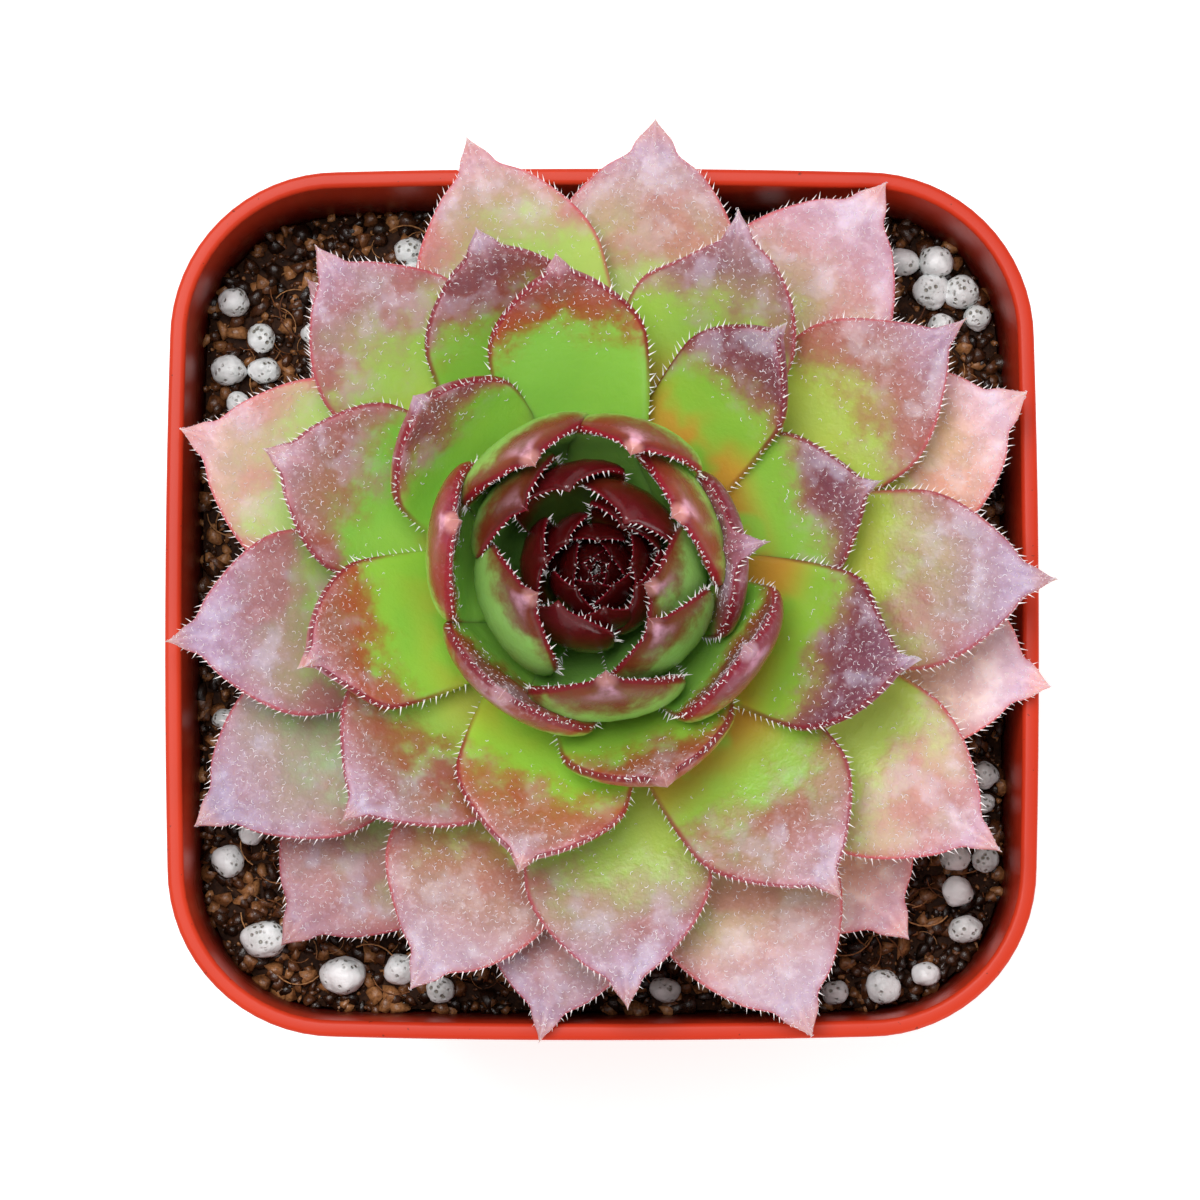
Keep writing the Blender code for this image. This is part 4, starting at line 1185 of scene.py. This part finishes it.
# %% Pink of a leaf
def leaf_pink(shader, leaf, green):
    tint = shader.mix(shader.band(leaf.blush, -2.0, 2.4), green, age_ramp(shader, leaf.age, LILACS))
    blotch = shader.math("ADD", 0.5, shader.times(shader.band(leaf.cloud, 0.46, 0.6), 0.5))
    blotch = shader.math("MAXIMUM", blotch, shader.times(shader.band(leaf.age, 0.26, 0.46), 0.9))
    between = shader.times(shader.band(leaf.blush, -1.8, 0.2), shader.band(leaf.blush, 3.4, 1.0))
    rose_here = shader.times(between, blotch, 0.85)
    tint = shader.mix(rose_here, tint, age_ramp(shader, leaf.age, ROSES))
    pink = shader.band(leaf.blush, -1.2, 0.8)
    purple_here = shader.times(pink, shader.band(leaf.along, 1.0, 0.86), leaf.deep)
    tint = shader.mix(shader.times(purple_here, 0.85), tint, colour(112, 58, 78))
    haze = shader.times(shader.band(shader.noise(420, 3), 0.5, 0.64), shader.band(leaf.blush, -2.6, 1.2))
    tint = shader.mix(shader.times(haze, shader.band(leaf.age, 0.62, 0.5), 0.4), tint, colour(206, 200, 220))
    near_margin = shader.times(shader.band(leaf.edge, 0.6, 0.97), shader.band(leaf.blush, -1.8, 1.0), 0.6)
    return shader.tinted(near_margin, tint, (0.82, 0.46, 0.5))

# %% [markdown]
# Where green meets pink the real leaf is brown and orange, in small patches. The margin carries a thin red
# line, the backs of the bud leaves' points carry a painted highlight up their keel, the points of the open
# leaves are pale and dry, and the pink is mottled.

# %% Marks on a leaf
def leaf_marks(shader, leaf, tint):
    meeting = shader.times(shader.band(leaf.blush, -2.6, -0.6), shader.band(leaf.blush, 1.8, -0.2))
    rust = shader.times(meeting, leaf.rusty, shader.band(leaf.patch, 0.25, 0.6), 0.75)
    rust_tint = shader.mix(shader.band(leaf.age, 0.56, 0.62), colour(146, 62, 24), colour(104, 30, 12))
    tint = shader.mix(rust, tint, rust_tint)
    rim = shader.times(shader.band(leaf.edge, 0.94, 0.99), shader.band(leaf.blush, -5.0, -1.0), 0.85)
    rim_tint = shader.mix(shader.band(leaf.age, 0.2, 0.5), colour(182, 78, 90), colour(116, 14, 30))
    tint = shader.mix(rim, tint, rim_tint)
    # Painted highlight: a pale lilac streak up the keel on the backs of the bud leaves' points.
    bud_leaf = shader.times(shader.band(leaf.age, 0.46, 0.52), shader.band(leaf.age, 0.75, 0.72), leaf.back)
    painted_keel_highlight = shader.times(shader.band(leaf.along, 0.84, 0.95), shader.band(leaf.edge, 0.7, 0.15), bud_leaf)
    painted_keel_highlight = shader.times(painted_keel_highlight, shader.band(leaf.patch, 0.3, 0.65), 0.85)
    tint = shader.mix(painted_keel_highlight, tint, colour(200, 152, 178))
    dry = shader.times(shader.band(leaf.along, 0.93, 0.97), shader.band(leaf.age, 0.74, 0.70), 0.6)
    tint = shader.mix(dry, tint, shader.mix(leaf.deep, colour(188, 138, 136), colour(178, 164, 190)))
    mottle = shader.times(shader.band(leaf.patch, 0.56, 0.42), shader.band(leaf.blush, -1.6, 0.8), 0.35)
    return shader.tinted(mottle, tint, (0.7, 0.62, 0.7))

# %% [markdown]
# Last come what single leaves have of their own, warmer or brighter flesh, and a bloom that makes the pink
# look dusty. On the leaves of the bud the brighter flesh is painted light, where light falls on them. Some
# light goes through the thin flesh, which the shader's subsurface setting gives. The heart is glossier than
# the open leaves, so it gets a material of its own from the same function.

# %% Leaf material
def leaf_material(name, gloss, smooth):
    shader = Shader(name)
    leaf = leaf_numbers(shader)
    tint = leaf_marks(shader, leaf, leaf_pink(shader, leaf, leaf_green(shader, leaf)))
    warm_here = shader.times(leaf.warm, shader.band(leaf.along, 0.98, 0.74))
    tint = shader.tinted(warm_here, tint, (1.25, 1.12, 0.66))
    # bright: brighter flesh on open leaves, and painted light on the leaves of the bud.
    tint = shader.tinted(leaf.bright, tint, (1.6, 1.52, 1.42))
    pink = shader.band(leaf.blush, -0.6, 1.4)
    bloom = shader.times(shader.band(leaf.fine, 0.5, 0.72), pink, leaf.young, 0.2)
    tint = shader.mix(bloom, tint, colour(244, 236, 242))
    relief = shader.math("ADD", shader.times(leaf.patch, 0.6), shader.times(leaf.fine, 0.3))
    dusty = shader.times(shader.band(leaf.blush, -1.0, 2.0), shader.band(leaf.age, 0.76, 0.6), 0.18)
    return shader.finish(
        Base_Color=tint,
        Roughness=shader.math("ADD", smooth, dusty),
        Normal=shader.bump(relief, 0.6, 0.00018),
        Subsurface_Weight=0.5,
        Subsurface_Radius=(1.0, 0.8, 0.35),
        Subsurface_Scale=0.0016,
        Specular_IOR_Level=gloss,
    )


place(rosette, leaf_material("houseleek_leaf", 0.22, 0.24), "green_leaf", "rosette")
place(heart, leaf_material("houseleek_heart", 0.5, 0.16), "wine_red_leaf", "heart")

# %% [markdown]
# ## Fringe
#
# Every margin carries a row of stout white hairs, about half a millimetre long, that lean towards the leaf's
# tip. They follow the margin lines kept above. The tree turns those lines into curves, sets points along them
# at an even spacing, and puts a five-sided cone on each, turned to the outward direction that the line's
# points carry. Hairs this thin would look grey, so their material glows faintly.

# %% Fringe of the leaves
LEAN = 0.7


def margin_lines(name, margins, first, last):
    """Edges along the margins, with the direction out of the leaf and the hairs' size on each point."""
    points, edges, outward, sizes = [], [], [], []
    for number, line in margins:
        kept = [entry for entry in line if first <= entry[2] <= last]
        size = float(np.interp(number, (10, 26, 36, 45, 60), (0.85, 0.95, 1.15, 1.15, 0.7)))
        for i, (point, out, along) in enumerate(kept):
            before, after = kept[max(i - 1, 0)][0], kept[min(i + 1, len(kept) - 1)][0]
            onward = (after - before).normalized()
            if i:
                edges.append((len(points) - 1, len(points)))
            points.append(point)
            square = (out - onward * out.dot(onward)).normalized()
            outward.append(tuple((square + onward * LEAN).normalized()))
            fade = min(1.0, (along - first) / 0.12 + 0.3) * min(1.0, (last - along) / 0.06 + 0.45)
            sizes.append(fade * size)
    mesh = bpy.data.meshes.new(name)
    mesh.from_pydata(points, edges, [])
    mesh.attributes.new("outward", "FLOAT_VECTOR", "POINT").data.foreach_set("vector", np.ravel(outward))
    mesh.attributes.new("size", "FLOAT", "POINT").data.foreach_set("value", sizes)
    obj = bpy.data.objects.new(name, mesh)
    bpy.context.scene.collection.objects.link(obj)
    return obj


def fringe_tree(material):
    tree = Tree("fringe")
    spacing, length, radius = tree.input("Spacing"), tree.input("Length"), tree.input("Radius")
    curve = tree.node("GeometryNodeMeshToCurve", 0, None, {"Mesh": tree.entry.outputs[0]})
    inputs = {"Curve": curve, "Length": spacing}
    even = tree.node("GeometryNodeResampleCurve", 0, {"mode": "LENGTH"}, inputs)
    cone = {"Vertices": 5, "Side Segments": 2, "Radius Top": 0.0, "Radius Bottom": radius, "Depth": length}
    hair = tree.node("GeometryNodeMeshCone", 0, {"fill_type": "NGON"}, cone)
    stray = tree.random_vector((-0.38, -0.38, -0.25), (0.38, 0.38, 0.3), 31)
    outward = tree.named("outward", "FLOAT_VECTOR")
    aim = tree.node("ShaderNodeVectorMath", 0, {"operation": "ADD"}, {0: outward, 1: stray})
    turn = tree.node("FunctionNodeAlignRotationToVector", 0, {"axis": "Z"}, {"Vector": aim})
    size = tree.times(tree.named("size"), tree.random(0.42, 1.18, 32))
    tree.close(tree.instances(even, hair, turn, size), material)
    return tree


def hair_material(name, bright, dull, rough, glow):
    shader = Shader(name)
    tint = shader.mix(shader.noise(2400, 2), bright, dull)
    white = (1, 1, 1, 1)
    return shader.finish(Base_Color=tint, Roughness=rough, Emission_Color=white, Emission_Strength=glow)


hair_white = hair_material("white_hair", colour(250, 250, 248), colour(226, 214, 216), 0.35, 0.12)
hair_down = hair_material("down_hair", colour(246, 240, 244), colour(214, 200, 210), 0.5, 0.06)
lines = margin_lines("margin_lines", rosette_parts[3], 0.22, 0.965)
fringe = grow(
    "leaf_fringe", lines, fringe_tree(hair_white), Spacing=0.43 * MM, Length=0.56 * MM, Radius=0.05 * MM
)
bpy.data.objects.remove(lines)
place(fringe, hair_white, "green_leaf")
lines = margin_lines("heart_lines", heart_parts[3], 0.3, 0.98)
heart_fringe = grow(
    "heart_fringe", lines, fringe_tree(hair_white), Spacing=0.4 * MM, Length=0.54 * MM, Radius=0.052 * MM
)
bpy.data.objects.remove(lines)
place(heart_fringe, hair_white, "wine_red_leaf")

# %% [markdown]
# ## Down
#
# The pink part of each leaf is covered with short white hairs that curl over its skin. They grow from the
# leaf's own faces: the tree scatters points where blush is high on the upper side and lays a short bent
# thread on each. The points keep a least distance, called Poisson spacing, because hairs on skin never grow
# in clumps.

# %% Down on the leaves
def down_tree(material):
    tree = Tree("down")
    density, length, radius = tree.input("Density"), tree.input("Length"), tree.input("Radius")
    seed = tree.input("Seed", "Int")
    apart, first, last = tree.input("Apart"), tree.input("First age"), tree.input("Last age")
    fading = {"Value": tree.named("blush"), "From Min": -2.8, "From Max": 1.4}
    pink = tree.node("ShaderNodeMapRange", 0, None, fading)
    above = tree.number_math("GREATER_THAN", tree.named("upper"), -0.2)
    from_first = tree.number_math("GREATER_THAN", tree.named("age"), first)
    to_last = tree.number_math("LESS_THAN", tree.named("age"), last)
    inputs = {
        "Mesh": tree.entry.outputs[0], "Distance Min": apart, "Density Max": density, "Seed": seed,
        "Density Factor": tree.times(pink, above, to_last, from_first),
    }
    points = tree.node("GeometryNodeDistributePointsOnFaces", 0, {"distribute_method": "POISSON"}, inputs)
    thread = tree.bent_thread(4, 0.4, 2.9, radius)
    spin = tree.random_vector((-0.5, -0.5, 0), (0.5, 0.5, FULL_TURN), 42)
    spin = tree.node("FunctionNodeEulerToRotation", 0, None, {0: spin})
    turns = {0: points.node.outputs["Rotation"], 1: spin}
    turn = tree.node("FunctionNodeRotateRotation", 0, {"rotation_space": "LOCAL"}, turns)
    size = tree.times(tree.random(0.55, 1.2, 43), length)
    tree.close(tree.instances(points, thread, turn, size), material)
    return tree


DOWN = {"Density": 2.4e7, "Apart": 0.27 * MM, "Length": 0.32 * MM, "Radius": 0.065, "Seed": 9}
for name, first, last in (("outer_down", -1, 15.5), ("middle_down", 15.5, 26.5), ("inner_down", 26.5, 44.5)):
    ages = {"First age": first / (LEAF_COUNT - 1), "Last age": last / (LEAF_COUNT - 1)}
    down = grow(name, rosette, down_tree(hair_down), **DOWN, **ages)
    place(down, hair_down, "green_leaf")

# %% [markdown]
# ## Stage
#
# A product picture on white needs a pale floor and large soft lights: one broad light above, a weaker one
# from the front, and a white world that fills the shadows. The floor glows faintly with less red than white
# has, which makes up for the red that the pot throws on it. The floor isn't part of the object.

# %% Floor and lights
def add_light(name, size, power, place_at, target):
    data = bpy.data.lights.new(name, "AREA")
    data.shape = "SQUARE"
    data.size = size
    data.energy = power
    light = bpy.data.objects.new(name, data)
    light.location = place_at
    light.rotation_euler = (Vector(target) - Vector(place_at)).to_track_quat("-Z", "Y").to_euler()
    bpy.context.scene.collection.objects.link(light)


FLOOR_HALF = 2.0
corners = [(x * FLOOR_HALF, y * FLOOR_HALF, 0) for x, y in ((-1, -1), (1, -1), (1, 1), (-1, 1))]
floor = make_object("floor", corners, [(0, 1, 2, 3)], smooth=False)
floor_shader = Shader("pale_floor")
floor.data.materials.append(floor_shader.finish(
    Base_Color=(0.93, 0.965, 0.965, 1),
    Roughness=0.9,
    Emission_Color=(0.85, 1.0, 1.0, 1),
    Emission_Strength=0.42,
))

add_light("soft_top", 0.28, 2.0, (-0.1, 0.12, 0.52), (0, 0, 0.05))
add_light("soft_front", 0.4, 0.9, (0.3, -0.38, 0.3), (0, 0, 0.04))
world = bpy.data.worlds.new("white_world")
world.use_nodes = True
world.node_tree.nodes["Background"].inputs["Color"].default_value = (1.0, 1.0, 1.0, 1)
world.node_tree.nodes["Background"].inputs["Strength"].default_value = 0.58
bpy.context.scene.world = world
bpy.context.scene.view_settings.view_transform = "Standard"
